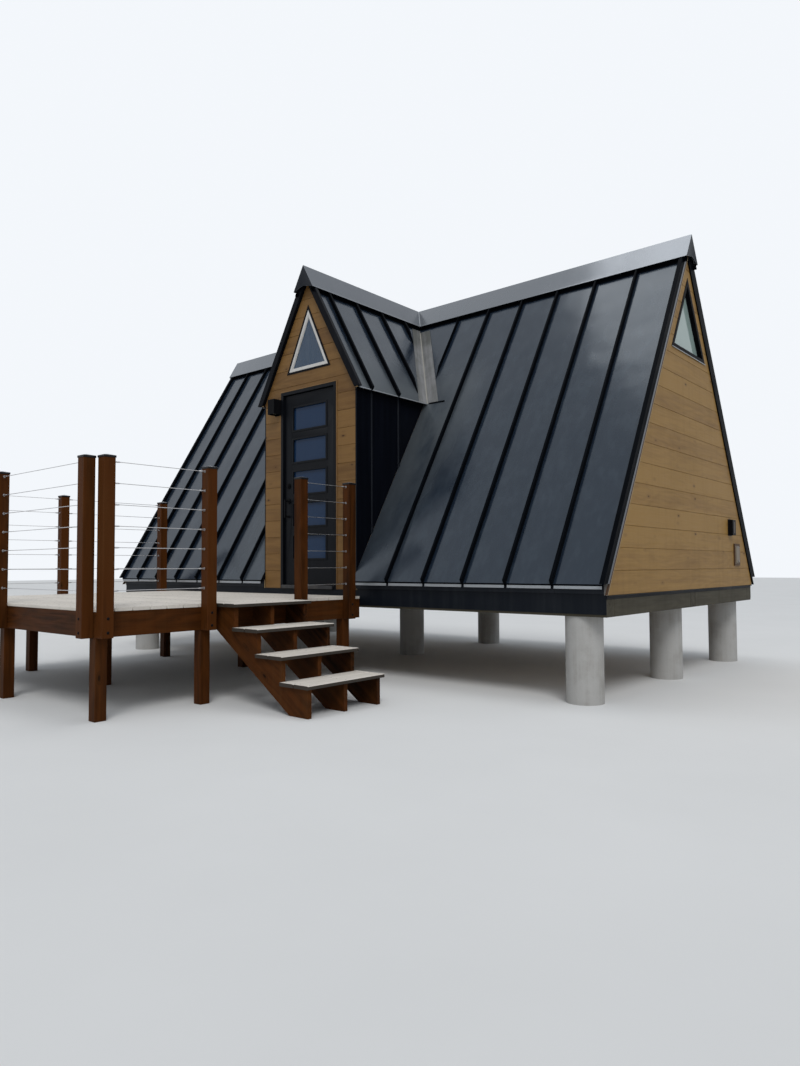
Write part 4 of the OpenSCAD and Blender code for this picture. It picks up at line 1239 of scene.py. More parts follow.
@dataclass(frozen=True)
class ViewPoint:
    """The photograph's camera, in its 800 by 1066 frame."""

    place: Point = (5.9895, -7.287, 1.093)
    yaw: float = 40.29
    pitch: float = 2.515
    roll: float = -0.258
    lens: float = 25.41
    sensor: float = 36.0

    def build(self) -> None:
        """Makes the camera and gives it to the scene."""
        yaw, pitch, roll = (math.radians(v) for v in (self.yaw, self.pitch, self.roll))
        ahead = Vector((-math.sin(yaw) * math.cos(pitch), math.cos(yaw) * math.cos(pitch), math.sin(pitch)))
        right = Vector((math.cos(yaw), math.sin(yaw), 0.0))
        up = right.cross(ahead)
        side = math.cos(roll) * right + math.sin(roll) * up
        top = math.cos(roll) * up - math.sin(roll) * right
        data = bpy.data.cameras.new("camera")
        data.lens, data.sensor_width, data.sensor_fit = self.lens, self.sensor, "AUTO"
        data.clip_start, data.clip_end = 0.05, 500.0
        camera = linked("camera", data)
        turn = Matrix((side, top, -ahead)).transposed().to_4x4()
        camera.matrix_world = Matrix.Translation(self.place) @ turn
        bpy.context.scene.camera = camera


@dataclass(frozen=True)
class Studio:
    """Pale floor, bright surroundings, one soft sun and a soft panel overhead."""

    floor_half: float = 60.0
    fill: Colour = (0.46, 0.49, 0.53)
    seen: Colour = (0.90, 0.93, 0.97)
    sun_strength: float = 1.25
    sun_from: Point = (0.62, -0.62, 1.0)
    sun_angle: float = 24.0
    panel_place: Point = (1.5, -1.0, 12.0)
    panel_size: float = 6.0
    panel_radiance: float = 2.2

    def build(self) -> None:
        """Makes the floor, the world, the sun and the panel."""
        scene = bpy.context.scene
        scene.view_settings.view_transform = "Standard"
        self._floor()
        self._world(scene)
        lamp = bpy.data.lights.new("sun", "SUN")
        lamp.energy, lamp.angle = self.sun_strength, math.radians(self.sun_angle)
        sun = linked("sun", lamp)
        sun.rotation_mode = "QUATERNION"
        sun.rotation_quaternion = Vector(self.sun_from).to_track_quat("Z", "Y")
        glow = bpy.data.lights.new("panel", "AREA")
        glow.shape, glow.size = "DISK", self.panel_size
        glow.energy = self.panel_radiance * math.pi * math.pi * (self.panel_size / 2) ** 2
        panel = linked("panel", glow)
        panel.location = self.panel_place
        panel.visible_camera = False

    def _floor(self) -> None:
        """Makes the pale floor with a faint mottle."""
        far = self.floor_half
        shape = Shape()
        shape.mesh.faces.new([shape.mesh.verts.new((x, y, 0)) for x, y in rect(-far, -far, far, far)])
        material, g, shader, place = start_material("studio_floor")
        tint = g.mix(g.noise(place, 0.8, 4.0), (0.70, 0.70, 0.69, 1.0), (0.76, 0.76, 0.75, 1.0))
        g.feed(shader, {"Base Color": tint, "Roughness": 0.9, "Specular IOR Level": 0.1})
        shape.piece("studio_floor", material)

    def _world(self, scene: bpy.types.Scene) -> None:
        """Makes surroundings that show white to the eye, metal and glass, and light softly."""
        world = bpy.data.worlds.new("studio")
        world.use_nodes = True
        scene.world = world
        g = Graph(world.node_tree)
        path = g.node("ShaderNodeLightPath").outputs
        seen = g.math("MAXIMUM", path["Is Camera Ray"], path["Is Glossy Ray"])
        seen = g.math("MAXIMUM", seen, path["Is Transmission Ray"])
        colour = g.mix(seen, rgba(self.fill), rgba(self.seen))
        g.feed(world.node_tree.nodes["Background"], {"Color": colour, "Strength": 1.0})


# Sub-assemblies


@dataclass
class Assembly:
    """What every sub-assembly has: the finishes, the trees and ways to make and tie a piece."""

    palette: Palette
    trees: GrowTrees

    def add(
        self, shape: Shape, name: str, finish: str, slot: str, *nodes: str,
        seed: int | None = None, along: Point | None = None,
    ) -> bpy.types.Object:
        """Ties a shape as a piece, with grain where a seed is given."""
        made = shape.piece(name, self.palette[finish])
        if seed is not None:
            stamp_grain(made, seed, along)
        return settle(made, slot, *nodes)

    def ease(
        self, node: str, name: str, finish: str, slot: str, edge: float, seed: int | None = None,
        body: Body = Body.CABIN, second: tuple[str, Callable[[Any], bool]] | None = None,
    ) -> bpy.types.Object:
        """Ties a clean copy of a node in its place.

        Args:
            node: Name of the node.
            name: Name of the piece.
            finish: Finish of the piece.
            slot: Slot of the piece, which is not used.
            edge: Width of the eased edges, or 0 to leave them sharp.
            seed: Number for the grain of timber.
            body: Body that the piece rides on.
            second: Second finish, with the test of the faces that get it.

        Returns:
            The piece.
        """
        made = soften(node, name, self.palette[finish], edge)
        if second:
            shade(made, self.palette[second[0]], second[1])
        if seed is not None:
            stamp_grain(made, seed)
        return settle(made, slot, node, body=body)

    def repeat(
        self, name: str, part: bpy.types.Object, count: int, step: Point, finish: str,
        seed: int = 1, jitter: Point = ORIGIN,
    ) -> bpy.types.Object:
        """Repeats a part in a row, each copy a little out of place, and removes the part."""
        values = {"Part": part, "Count": count, "Step": step, "Jitter": jitter, "Seed": seed}
        made = self.trees.grow(name, self.trees.row, {**values, "Material": self.palette[finish]})
        discard(part)
        return made

    def heads(
        self, name: str, places: Sequence[Point], size: Point, finish: str, facing: Point = (0.0, 0.0, 1.0)
    ) -> bpy.types.Object:
        """Puts screw or bolt heads, sized by radius, height and sides, on points."""
        points = bpy.data.meshes.new("points")
        points.from_pydata(places, [], [])
        values = {"Radius": size[0], "Height": size[1], "Sides": size[2], "Facing": facing}
        return self.trees.grow(name, self.trees.studs, {**values, "Material": self.palette[finish]}, points)


# Radius, height and sides of the heads
SCREW: Point = (0.0042, 0.0012, 8)
BOLT: Point = (0.011, 0.005, 12)
# Distance that keeps two faces from falling in one plane
PROUD = 0.0002


@dataclass
class Base(Assembly):
    """Piers, beams, joists, floor and the skirt under the eaves."""

    drip_low: float = 0.908
    drip_high: float = 0.932
    hem_high: float = 0.9485
    hem_y: float = 1.8865
    drip_t: float = 0.0015
    seam_gap: float = 0.010
    least_bay: float = 0.04
    lap: float = 0.009
    strip_in: float = 0.004
    band_low: float = 0.872
    band_y: float = 1.884
    band_out: float = 0.010
    band_end: float = 0.027
    beam_x: float = 3.4665
    edge_t: float = 0.0025
    edge_low: float = 0.831
    corner_w: float = 0.0265
    corner_z: tuple[float, float] = (0.862, 0.949)

    def build(self) -> None:
        """Builds the base."""
        dress(self.palette["concrete"], "foundation_piers")
        for node, seed in (("base_beams", 3), ("floor_joists", 4)):
            self.ease(node, f"{node}_timber", "treated_pine", "treated_timber", 0.003, seed)
        dress(self.palette["floor_ply"], "floor")
        self.ease("skirt_panels", "skirt_sheets", "skirt_paint", "roof_metal", 0.001)
        self._drips()
        self._beam_drips()

    def _bays(self, back: bool) -> list[tuple[float, float]]:
        """Ends of the eave's strips between the seams, along X."""
        reach = PLAN.entry_half + PLAN.rib_h
        low, high = PLAN.entry_x - reach, PLAN.entry_x + reach
        bays = []
        for i in range(PLAN.panels):
            x0 = max(PLAN.seam_x(i) + self.seam_gap, -PLAN.half_len)
            x1 = min(PLAN.seam_x(i + 1) - self.seam_gap, PLAN.half_len)
            if back or x1 < low or x0 > high:
                bays.append((x0, x1))
            else:
                bays += [(a, b) for a, b in ((x0, low), (high, x1)) if b - a > self.least_bay]
        return bays

    def _drips(self) -> None:
        """Adds the hem under the pans, black as painted shade, the bright drip strips below it and the band
        behind.
        """
        top, t, low, high, lap = self.hem_high, self.drip_t, self.drip_low, self.drip_high, self.lap
        edge = PLAN.half(top, PLAN.deck_level)
        fold = [(edge, top), (self.hem_y, top), (self.hem_y, top - t), (edge - t, top - t)]
        fold += [(edge - t, high - 0.002), (edge, high - 0.002)]
        lip = [(edge + 0.001, high), (edge - t, high), (edge - t, low + 0.003)]
        lip += [(edge + 0.003, low), (edge + 0.0045, low + 0.001), (edge + 0.001, low + 0.005)]
        hem, strips, band = Shape(), Shape(), Shape()
        for back in (False, True):
            sign = 1 if back else -1
            y0, y1 = span(sign, self.band_y, self.band_y + self.band_out)
            reach = PLAN.half_len - self.band_end
            for x0, x1 in self._bays(back):
                hem.draw([(sign * y, z) for y, z in fold], Axis.X, x0 - lap, x1 + lap)
                ends = (x0 + self.strip_in, x1 - self.strip_in)
                strips.draw([(sign * y, z) for y, z in lip], Axis.X, *ends)
                start = (max(x0 - lap, -reach), y0, self.band_low)
                band.bar(start, (min(x1 + lap, reach), y1, top - 0.004), Axis.X, 0.0015)
        # The hems take the near-black of painted shade.
        self.add(hem, "eave_hems", "seam_paint", "roof_metal")
        self.add(strips, "eave_drip_strips", "drip_metal", "bare_metal")
        self.add(band, "eave_bands", "band_paint", "roof_metal")

    def _beam_drips(self) -> None:
        """Adds the dark drip edge under the gable boards and the corner pieces beside them."""
        drip, corner = Shape(), Shape()
        half, x0, x1 = PLAN.base_half, self.beam_x, PLAN.half_len
        profile = [(x0, 0.8585), (x1, 0.8585), (x1 + 0.006, 0.852), (x1 + 0.006, 0.8535)]
        profile += [(x1, 0.8605), (x0, 0.8600)]
        for side in (1, -1):
            drip.draw([(side * x, z) for x, z in profile], Axis.Y, -half, half)
            a, b = span(side, x0, x0 + self.edge_t)
            drip.box((a, -half - 0.0005, self.edge_low), (b, half + 0.0005, profile[0][1] - PROUD))
            a, b = span(side, x1 - self.corner_w, x1 + 0.003)
            for front in (1, -1):
                y0, y1 = span(front, half + 0.0005, half + 0.011)
                corner.box((a, y0, self.corner_z[0]), (b, y1, self.corner_z[1]))
        self.add(drip, "gable_drip_edges", "trim_paint", "roof_metal")
        self.add(corner, "board_corner_trims", "corner_metal", "bare_metal")


@dataclass(frozen=True)
class Cladding:
    """Horizontal boards with eased edges, laid in rows from the floor up."""

    rows: int = 19
    row_h: float = 0.181
    first_extra: float = 0.010
    joint: float = 0.0009
    chamfer: float = 0.0034

    def lay(
        self, part: Assembly, name: str, axis: Axis, face: float, reach: Sequence[float], finish: str
    ) -> bpy.types.Object:
        """Lays one wall's boards, not yet cut to its outline.

        Args:
            part: Sub-assembly that the boards belong to.
            name: Name of the boards.
            axis: Direction that the boards run along.
            face: Place of their front face, square to the wall.
            reach: Both ends along the axis.
            finish: Finish of the boards.

        Returns:
            The boards as one object, the first row a little taller.
        """
        back = face - math.copysign(PLAN.board_t, face)
        eased = face - math.copysign(self.chamfer, face)
        z0 = PLAN.floor_z + self.first_extra
        z1 = z0 + self.row_h - self.joint
        section = [(back, z0), (eased, z0), (face, z0 + self.chamfer)]
        section += [(face, z1 - self.chamfer), (eased, z1), (back, z1)]
        board = Shape().draw(section, axis, *reach).part("board")
        jitter = (0.0005, 0.0, 0.0) if axis is Axis.Y else (0.0, 0.0005, 0.0)
        boards = part.repeat(name, board, self.rows, (0.0, 0.0, self.row_h), finish, 5, jitter)
        for vert in boards.data.vertices:
            if vert.co.z < z0 + 2 * self.chamfer:
                vert.co.z -= self.first_extra
        return boards


@dataclass
class Gables(Assembly):
    """Both gable walls with their boards, deep windows and supply box."""

    bar: float = 0.045
    depth: float = 0.080
    pane_t: float = 0.024
    box_place: tuple[float, float] = (1.340, 1.100)
    box_size: tuple[float, float] = (0.140, 0.200)
    box_front: float = 0.021
    surround: float = 0.019
    surround_t: float = 0.014
    fillet_w: float = 0.017
    bead_w: float = 0.006
    back_w: float = 0.030

    def build(self) -> None:
        """Builds the gables."""
        dress(self.palette["lining_ply"], "gable_wall_right", "gable_wall_left")
        self._boards()
        self._windows()
        self._rake_fillets()
        self._supply_box()

    def _boards(self) -> None:
        """Lays the boards in rows, cut to the roof and round the window."""
        face, back = PLAN.half_len, PLAN.half_len - PLAN.board_t
        reach = (-PLAN.base_half - 0.1, PLAN.base_half + 0.1)
        boards = Cladding().lay(self, "gable_cladding", Axis.Y, face, reach, "pine_gable")
        carve(boards, Shape().draw(PLAN.gable(), Axis.X, back - 0.01, face + 0.01), "INTERSECT")
        carve(boards, Shape().draw(PLAN.gable_window(0), Axis.X, back - 0.02, face + 0.02))
        settle(stamp_grain(with_twin(boards), 11, (0, 1, 0)), "pine_boards", "gable_boards")

    def _windows(self) -> None:
        """Adds dark frames with an eased face and an inner bead, light sills and the panes."""
        back = PLAN.half_len - PLAN.board_t
        front = PLAN.half_len + PLAN.win_proud
        glass_x = back - self.depth / 2
        frames, sills, panes = Shape(), Shape(), Shape()
        window, bar = PLAN.gable_window, self.bar
        frames.ring(window(0), window(-bar), Axis.X, back - self.depth, front - 0.003)
        frames.ring(window(-0.003), window(-bar + 0.003), Axis.X, front - 0.003, front)
        bead_x = glass_x - 0.004 + self.pane_t
        frames.ring(window(-bar + 0.001), window(-bar - 0.008), Axis.X, bead_x, bead_x + 0.010)
        low, half = window(0)[1][1], window(0)[1][0] - 0.010
        lip = [(front - 0.001, low - 0.001), (front - 0.001, low + 0.007)]
        lip += [(front + 0.007, low + 0.003), (front + 0.007, low - 0.004), (front + 0.005, low - 0.004)]
        sills.draw(lip, Axis.Y, -half, half)
        panes.draw(window(-bar + 0.0005), Axis.X, glass_x - 0.003, glass_x - 0.003 + self.pane_t)
        for shape, name, finish, slot, *nodes in (
            (frames, "gable_window_sashes", "window_metal", "window_frame", "gable_window_frames"),
            (sills, "gable_window_sills", "drip_metal", "bare_metal"),
            # The gable panes' pale green is painted light.
            (panes, "gable_panes", "gable_glass", "window_glass", "window_glass"),
        ):
            settle(with_twin(shape.piece(name, self.palette[finish])), slot, *nodes)

    def _rake_fillets(self) -> None:
        """Adds the strips along the rake boards' lower edges: brown and pale in front, the pale a painted
        highlight on the boards' edge, and black behind, a painted shade below the back rakes.
        """
        low, face, edge = PLAN.floor_z + 0.004, PLAN.half_len, PLAN.rake_low
        mid, end, far = edge - self.fillet_w, edge - self.fillet_w - self.bead_w, edge - self.back_w
        brown = ("rake_fillets", "brown_trim", "pine_boards", 19, mid, edge, 0.0135, 1)
        # Pale strips: a painted highlight along the boards' edge.
        pale = ("rake_edge_beads", "pale_trim", "pine_boards", 21, end, mid, 0.0130, 1)
        # Black strips behind: painted shade below the back rakes.
        black = ("back_rake_fillets", "seam_paint", "roof_metal", None, far, edge, 0.0135, -1)
        for name, finish, slot, seed, inner, outer, proud, way in (brown, pale, black):
            strips = Shape()
            outline = [(way * y, z) for y, z in PLAN.band(low, inner, outer)]
            for side in (1, -1):
                strips.draw(outline, Axis.X, *span(side, face - 0.001, face + proud))
            self.add(strips, name, finish, slot, seed=seed)

    def _supply_box(self) -> None:
        """Adds the supply box's cover, brown surround, latch and hinge."""
        self.ease("supply_box", "supply_cover", "box_steel", "supply_box", 0.0025)
        (y, z), (w, h), grow = self.box_place, self.box_size, self.surround
        rim, fittings = Shape(), Shape()
        outer = rect(y - w / 2 - grow, z - grow, y + w / 2 + grow, z + h + grow)
        face, inner = PLAN.half_len, rect(y - w / 2, z, y + w / 2, z + h)
        rim.ring(outer, inner, Axis.X, face, face + self.surround_t)
        self.add(rim, "supply_surround", "brown_trim", "pine_boards", seed=23, along=(0, 0, 1))
        x = face + self.box_front
        fittings.bar((x, y - 0.040, z + h - 0.022), (x + 0.005, y + 0.040, z + h - 0.014), Axis.Y, 0.001)
        fittings.bar((x, y - 0.012, z + 0.024), (x + 0.007, y + 0.012, z + 0.040), Axis.Y, 0.0015)
        self.add(fittings, "supply_latch", "screw_steel", "supply_box")


@dataclass
class Roof(Assembly):
    """Standing-seam panels, caps, trims and flashings of both roofs."""

    sheet_t: float = 0.0016
    seam_edge: float = 0.0035
    lip: float = 0.007
    ripple: float = 0.0032
    seam_start: float = 0.012
    cap_over: float = 0.034
    foot_lap: float = 0.009
    pan_cell: tuple[float, float] = (0.036, 0.06)
    least_cells: int = 8
    smooth: float = 25.0
    hem: tuple[float, float] = (0.014, 0.0015)
    closure_w: float = 0.032
    crease_r: float = 0.0045
    strip: tuple[float, float] = (0.005, 0.030)
    soffit_t: float = 0.004
    wall_plate_t: float = 0.0025
    lining_t: float = 0.0078
    foot_x: tuple[float, float] = (0.775, 0.985)

    def build(self) -> None:
        """Builds the roofs."""
        main = ("roof_deck_front_right", "roof_deck_front_left", "roof_deck_back")
        dress(self.palette["lining_ply"], *main, "entry_roof_right", "entry_roof_left")
        self._main_front()
        self._main_back()
        self._entry()
        # End faces of both caps take a darker finish: painted shade.
        ends = ("cap_end", lambda face: abs(face.normal.x) > 0.95 or face.normal.y < -0.95)
        for node, name, finish, slot, edge, second in (
            ("main_ridge_cap", "main_ridge_sheet", "cap_paint", "cap_metal", 0.0012, ends),
            # The entry's cap takes a darker copy of the main cap's finish: painted shade.
            ("entry_ridge_cap", "entry_ridge_sheet", "cap_shaded", "cap_metal", 0.0012, ends),
            # The rake boards take the near-black of painted shade.
            ("rake_trims", "rake_boards", "seam_paint", "roof_metal", 0.0025, None),
            ("entry_rake_trim", "entry_rake_board", "trim_paint", "roof_metal", 0.0025, None),
            ("valley_flashing", "valley_sheets", "flashing_metal", "bare_metal", 0.0, None),
        ):
            self.ease(node, name, finish, slot, edge, second=second)
        self._under_caps()
        self._creases()
        self._rake_strips()
        self._entry_eaves()
        self._valley_feet()

    def _seam_part(self, base: float, top: float, start: float, end: float) -> bpy.types.Object:
        """One seam along Y of the slope's own frame: a lip, a straight leg and rounded shoulders.

        Args:
            base: Level of its foot.
            top: Level of its top.
            start: Lower end, cut back towards the top.
            end: Upper end.

        Returns:
            The seam as a loose object.
        """
        w, e = PLAN.seam_w / 2, self.seam_edge
        section = [(-w - self.lip, base), (w, base), (w, top - e), (w - 0.3 * e, top - 0.3 * e), (w - e, top)]
        section += [(-w + 0.0080, top), (-w + 0.0030, top - 0.0022), (-w, top - 0.0045), (-w, base + 0.006)]
        shape = Shape().draw([*section, (-w - self.lip, base + 0.002)], Axis.Y, start, end)
        for vert in shape.mesh.verts:
            if vert.co.y < (start + end) / 2:
                vert.co.y += 0.6 * max(0.0, vert.co.z - base - 0.006)
        return shape.part("seam")

    def _sheet(
        self, start: float, width: float, reach: tuple[float, float], pitch: float, phase: float,
        level: float, shift: float, place: Matrix,
    ) -> bpy.types.Object:
        """A rippled sheet on a slope, not yet given a thickness.

        Args:
            start: First end along the slope's own X axis.
            width: Width along it.
            reach: Distances up the slope of the eave and the ridge.
            pitch: Distance between two seams.
            phase: Place of a seam.
            level: Level of the sheet.
            shift: Number that picks the ripples.
            place: Matrix from the slope to the cabin.

        Returns:
            The sheet.
        """
        low, length = reach[0] - 0.004, reach[1] - reach[0]
        values = {"Width": width, "Length": length, "Pitch": pitch, "Phase": phase - start, "Shift": shift}
        across, along = (round(size / cell) for size, cell in zip((width, length), self.pan_cell))
        values |= {"Columns": max(self.least_cells, across), "Lines": max(self.least_cells, along)}
        values |= {"Ripple": self.ripple, "Material": self.palette["roof_paint"]}
        sheet = self.trees.grow("pans", self.trees.sheet, values)
        turned(sheet, Matrix.Translation((start, low, level)))
        return turned(sheet, place)

    def _thicken(self, sheet: bpy.types.Object) -> bpy.types.Object:
        """Gives a sheet its thickness on the side away from the sky."""
        solid = sheet.modifiers.new("thickness", "SOLIDIFY")
        solid.thickness, solid.offset = self.sheet_t, -1.0
        settle_modifiers(sheet)
        return smooth_round(sheet, self.smooth)

    @staticmethod
    def _reach(level: float) -> tuple[float, float]:
        """Distances up the main slope at which a level meets the eave and the ridge."""
        s, c = math.sin(PLAN.slope), math.cos(PLAN.slope)
        return (PLAN.eave_z - PLAN.floor_z - level * c) / s, (PLAN.floor_half + level * s) / c

    @staticmethod
    def _up_to(apex: float, leg: float, foot: float, level: float, slope: float) -> float:
        """Distance up a slope at which a level is a cap leg's length down from an apex."""
        s, c = math.sin(slope), math.cos(slope)
        return (apex - leg * s - foot - level * c) / s

    def _main_seams(self, name: str, back: bool, places: list[float]) -> bpy.types.Object:
        """Seams of one slope of the main roof, at places along its own X axis."""
        level = PLAN.seam_level
        start = self._reach(level)[0] + self.seam_start
        leg = PLAN.cap_leg - PLAN.closure_in
        end = self._up_to(PLAN.apex(level), leg, PLAN.floor_z, level, PLAN.slope)
        part = self._seam_part(PLAN.deck_level + 0.003, level, start, end)
        # Seams in near-black: painted shade.
        seams = self.repeat(name, part, len(places), (PLAN.pitch, 0.0, 0.0), "seam_paint")
        way = 1 if back else -1
        # The seams' pale shoulder faces: painted highlight.
        shade(seams, self.palette["seam_edge"], lambda f: way * f.normal.x > 0.2 and f.normal.z > 0.2)
        return turned(seams, PLAN.main_frame(back) @ Matrix.Translation((places[0], 0, 0)))

    def _main_front(self) -> None:
        """Builds the front slope's pans and seams, cut round the entry."""
        foot = -PLAN.half(PLAN.entry_eave_z, PLAN.pan_level) + self.foot_lap
        x, level, reach = PLAN.entry_x, PLAN.pan_level - 0.001, self._reach(PLAN.pan_level)
        sheets, runs = [], []
        for side in (1, -1):
            start = x if side > 0 else -PLAN.half_len
            width = PLAN.half_len - side * x
            sheet = self._sheet(
                start, width, reach, PLAN.pitch, PLAN.seam_x(0), level, 3.0 + side, PLAN.main_frame()
            )
            slice_off(sheet, (0, foot, 0), (0, 1, 0), keep=True)
            wall_x = x + side * (PLAN.entry_half + 0.001)
            slice_off(sheet, (wall_x, 0, 0), (side, 0, 0), lambda c: c.y < foot)
            slice_off(sheet, (x, 0, 0), (side, PLAN.valley_ratio, 0), lambda c: c.y > foot)
            sheets.append(self._thicken(sheet))
            runs.append(self._front_seams(side, -PLAN.valley_y))
        pans = smooth_round(joined("main_front_pans", sheets), self.smooth)
        settle(pans, "roof_metal", "roof_metal_front_right", "roof_metal_front_left")
        settle(joined("main_front_seams", runs), "roof_metal")

    @staticmethod
    def _valley_cut(way: int, side: int, up: Point) -> Point:
        """Normal of the slanting cut of the seams over the valley."""
        lean = Vector((way * side, way * PLAN.valley_ratio, 0)).normalized()
        return tuple((lean - Vector(up) * 0.9).normalized())

    def _front_seams(self, side: int, foot: float) -> bpy.types.Object:
        """Seams of one side of the front slope, cut short of the entry's wall and the valley."""
        places = [PLAN.seam_x(i) for i in range(1, PLAN.panels)]
        near = [x for x in places if side * (x - PLAN.entry_x) > 0]
        seams = self._main_seams("seams", False, near)
        slice_off(seams, (0, foot, 0), (0, 1, 0), keep=True)
        wall_x = PLAN.entry_x + side * (PLAN.entry_half + PLAN.rib_h + 0.001)
        slice_off(seams, (wall_x, 0, 0), (side, 0, 0), lambda c: c.y < foot, True)
        root = (PLAN.entry_x + side * PLAN.valley_w, 0, PLAN.apex(PLAN.pan_level))
        normal = self._valley_cut(1, side, (0, -math.sin(PLAN.slope), math.cos(PLAN.slope)))
        slice_off(seams, root, normal, lambda c: c.y > foot, True)
        return seams

    def _main_back(self) -> None:
        """Builds the back slope's pans and seams."""
        level, half = PLAN.pan_level - 0.001, PLAN.half_len
        reach, first = self._reach(PLAN.pan_level), -PLAN.seam_x(PLAN.panels)
        sheet = self._sheet(-half, 2 * half, reach, PLAN.pitch, first, level, 9.0, PLAN.main_frame(True))
        sheet.name = "main_back_pans"
        settle(self._thicken(sheet), "roof_metal", "roof_metal_back")
        places = [-PLAN.seam_x(i) for i in range(PLAN.panels - 1, 0, -1)]
        settle(self._main_seams("main_back_seams", True, places), "roof_metal")

    def _entry(self) -> None:
        """Builds both halves of the entry roof's pans and seams."""
        s, c = math.sin(PLAN.entry_slope), math.cos(PLAN.entry_slope)
        edge = PLAN.entry_at(PLAN.entry_eave_z, 0)
        level, seam, x = PLAN.entry_pan_level, PLAN.entry_seam_level, PLAN.entry_x
        reach = (-level * c / s, (edge + level * s) / c)
        leg = PLAN.cap_leg - PLAN.closure_in
        high = self._up_to(PLAN.entry_apex(seam), leg, PLAN.entry_eave_z, seam, PLAN.entry_slope)
        front = -PLAN.entry_face + PLAN.rake_t
        rows = 1 + math.floor((PLAN.entry_face - PLAN.entry_first_seam) / PLAN.entry_pitch)
        first = -PLAN.entry_face + PLAN.entry_first_seam
        sheets, runs = [], []
        for side in (1, -1):
            place, start = PLAN.entry_frame(side < 0), 0.0 if side < 0 else front
            pitch, first_x = PLAN.entry_pitch, side * first
            sheet = self._sheet(start, -front, reach, pitch, first_x, level - 0.001, 17.0 + side, place)
            slice_off(sheet, (x, 0, 0), (-side, -PLAN.valley_ratio, 0))
            sheets.append(self._thicken(sheet))
            part = self._seam_part(level - 0.003, seam, -seam * c / s + self.seam_start, high)
            # Seams in near-black: painted shade.
            seams = self.repeat("seams", part, rows, (side * pitch, 0.0, 0.0), "seam_paint")
            turned(seams, place @ Matrix.Translation((first_x, 0, 0)))
            root = (x, -PLAN.valley_w, PLAN.entry_apex(level))
            slice_off(seams, root, self._valley_cut(-1, side, (side * s, 0, c)), close=True)
            runs.append(seams)
        pans = smooth_round(joined("entry_pans", sheets), self.smooth)
        settle(pans, "roof_metal", "entry_metal_right", "entry_metal_left")
        settle(joined("entry_seams", runs), "roof_metal")

    def _cap_strips(self, name: str, profile: Outline, finish: str, slot: str) -> None:
        """Adds a profile along the lower edges of both ridge caps.

        Args:
            name: Name of the new piece.
            profile: Corners as the distance up the slope from the cap's edge and the level under its top.
            finish: Name of the finish.
            slot: Slot of the piece, which is not used.
        """
        plan, leg, pieces = PLAN, PLAN.cap_leg, []
        level, end = plan.cap_level, plan.roof_half + self.cap_over
        edge = self._up_to(plan.apex(level), leg, plan.floor_z, level, plan.slope)
        run, x = leg * math.cos(plan.slope) * plan.valley_ratio, plan.entry_x
        front, back = plan.main_frame(), plan.main_frame(True)
        runs = [(edge, level, x + run, end, front), (edge, level, -end, x - run, front)]
        runs.append((edge, level, -end, end, back))
        level = plan.entry_seam_level + plan.cap_level - plan.seam_level
        edge = self._up_to(plan.entry_apex(level), leg, plan.entry_eave_z, level, plan.entry_slope)
        near = leg * math.cos(plan.entry_slope) / plan.valley_ratio
        far = plan.entry_face + self.cap_over
        runs.append((edge, level, -far, -near, plan.entry_frame()))
        runs.append((edge, level, near, far, plan.entry_frame(True)))
        for edge, level, start, end, place in runs:
            outline = [(edge + along, level + drop) for along, drop in profile]
            strip = Shape().draw(outline, Axis.X, start, end).piece(name, self.palette[finish])
            pieces.append(turned(strip, place))
        settle(joined(name, pieces), slot)

    def _under_caps(self) -> None:
        """Adds the caps' folded hems and the black closures that fill the gap over the pans and run on down
        the pans past the caps' edges as painted shadow.
        """
        self._cap_strips("ridge_cap_hems", rect(0.0, 0.0, *self.hem), "cap_paint", "cap_metal")
        # The closures run on down the pans past the caps' edges: painted shadow.
        deep, low = PLAN.pan_level - PLAN.cap_level, -self.closure_w
        profile = [(0.003, deep + 0.004), (low, deep + 0.003), (low, deep), (0.006, deep)]
        profile += [(0.006, -0.002), (0.003, -0.002)]
        self._cap_strips("ridge_closures", profile, "seam_paint", "roof_metal")

    def _creases(self) -> None:
        """Adds the folded beads where the two roofs' caps meet, bright as a painted highlight on the creases.
        """
        beads = Shape()
        run, apex = PLAN.cap_leg * math.cos(PLAN.slope), PLAN.apex(PLAN.cap_level)
        low = apex - PLAN.cap_leg * math.sin(PLAN.slope)
        for side in (1, -1):
            top = (PLAN.entry_x + side * 0.004, -0.004, apex - 0.006)
            foot = (PLAN.entry_x + side * run * PLAN.valley_ratio, -run, low + 0.001)
            beads.rod(top, foot, self.crease_r, 6)
        self.add(beads, "ridge_crease_beads", "drip_metal", "cap_metal")

    def _rake_strips(self) -> None:
        """Adds the lighter, glossier slate strips low on the main rakes' outer faces: painted sheen."""
        strips = Shape()
        outline = PLAN.band(PLAN.eave_z, *(PLAN.rake_low + level for level in self.strip))
        for side in (1, -1):
            strips.draw(outline, Axis.X, *span(side, PLAN.roof_half - 0.0005, PLAN.roof_half + 0.0025))
        self.add(strips, "rake_edge_strips", "rake_face", "roof_metal")

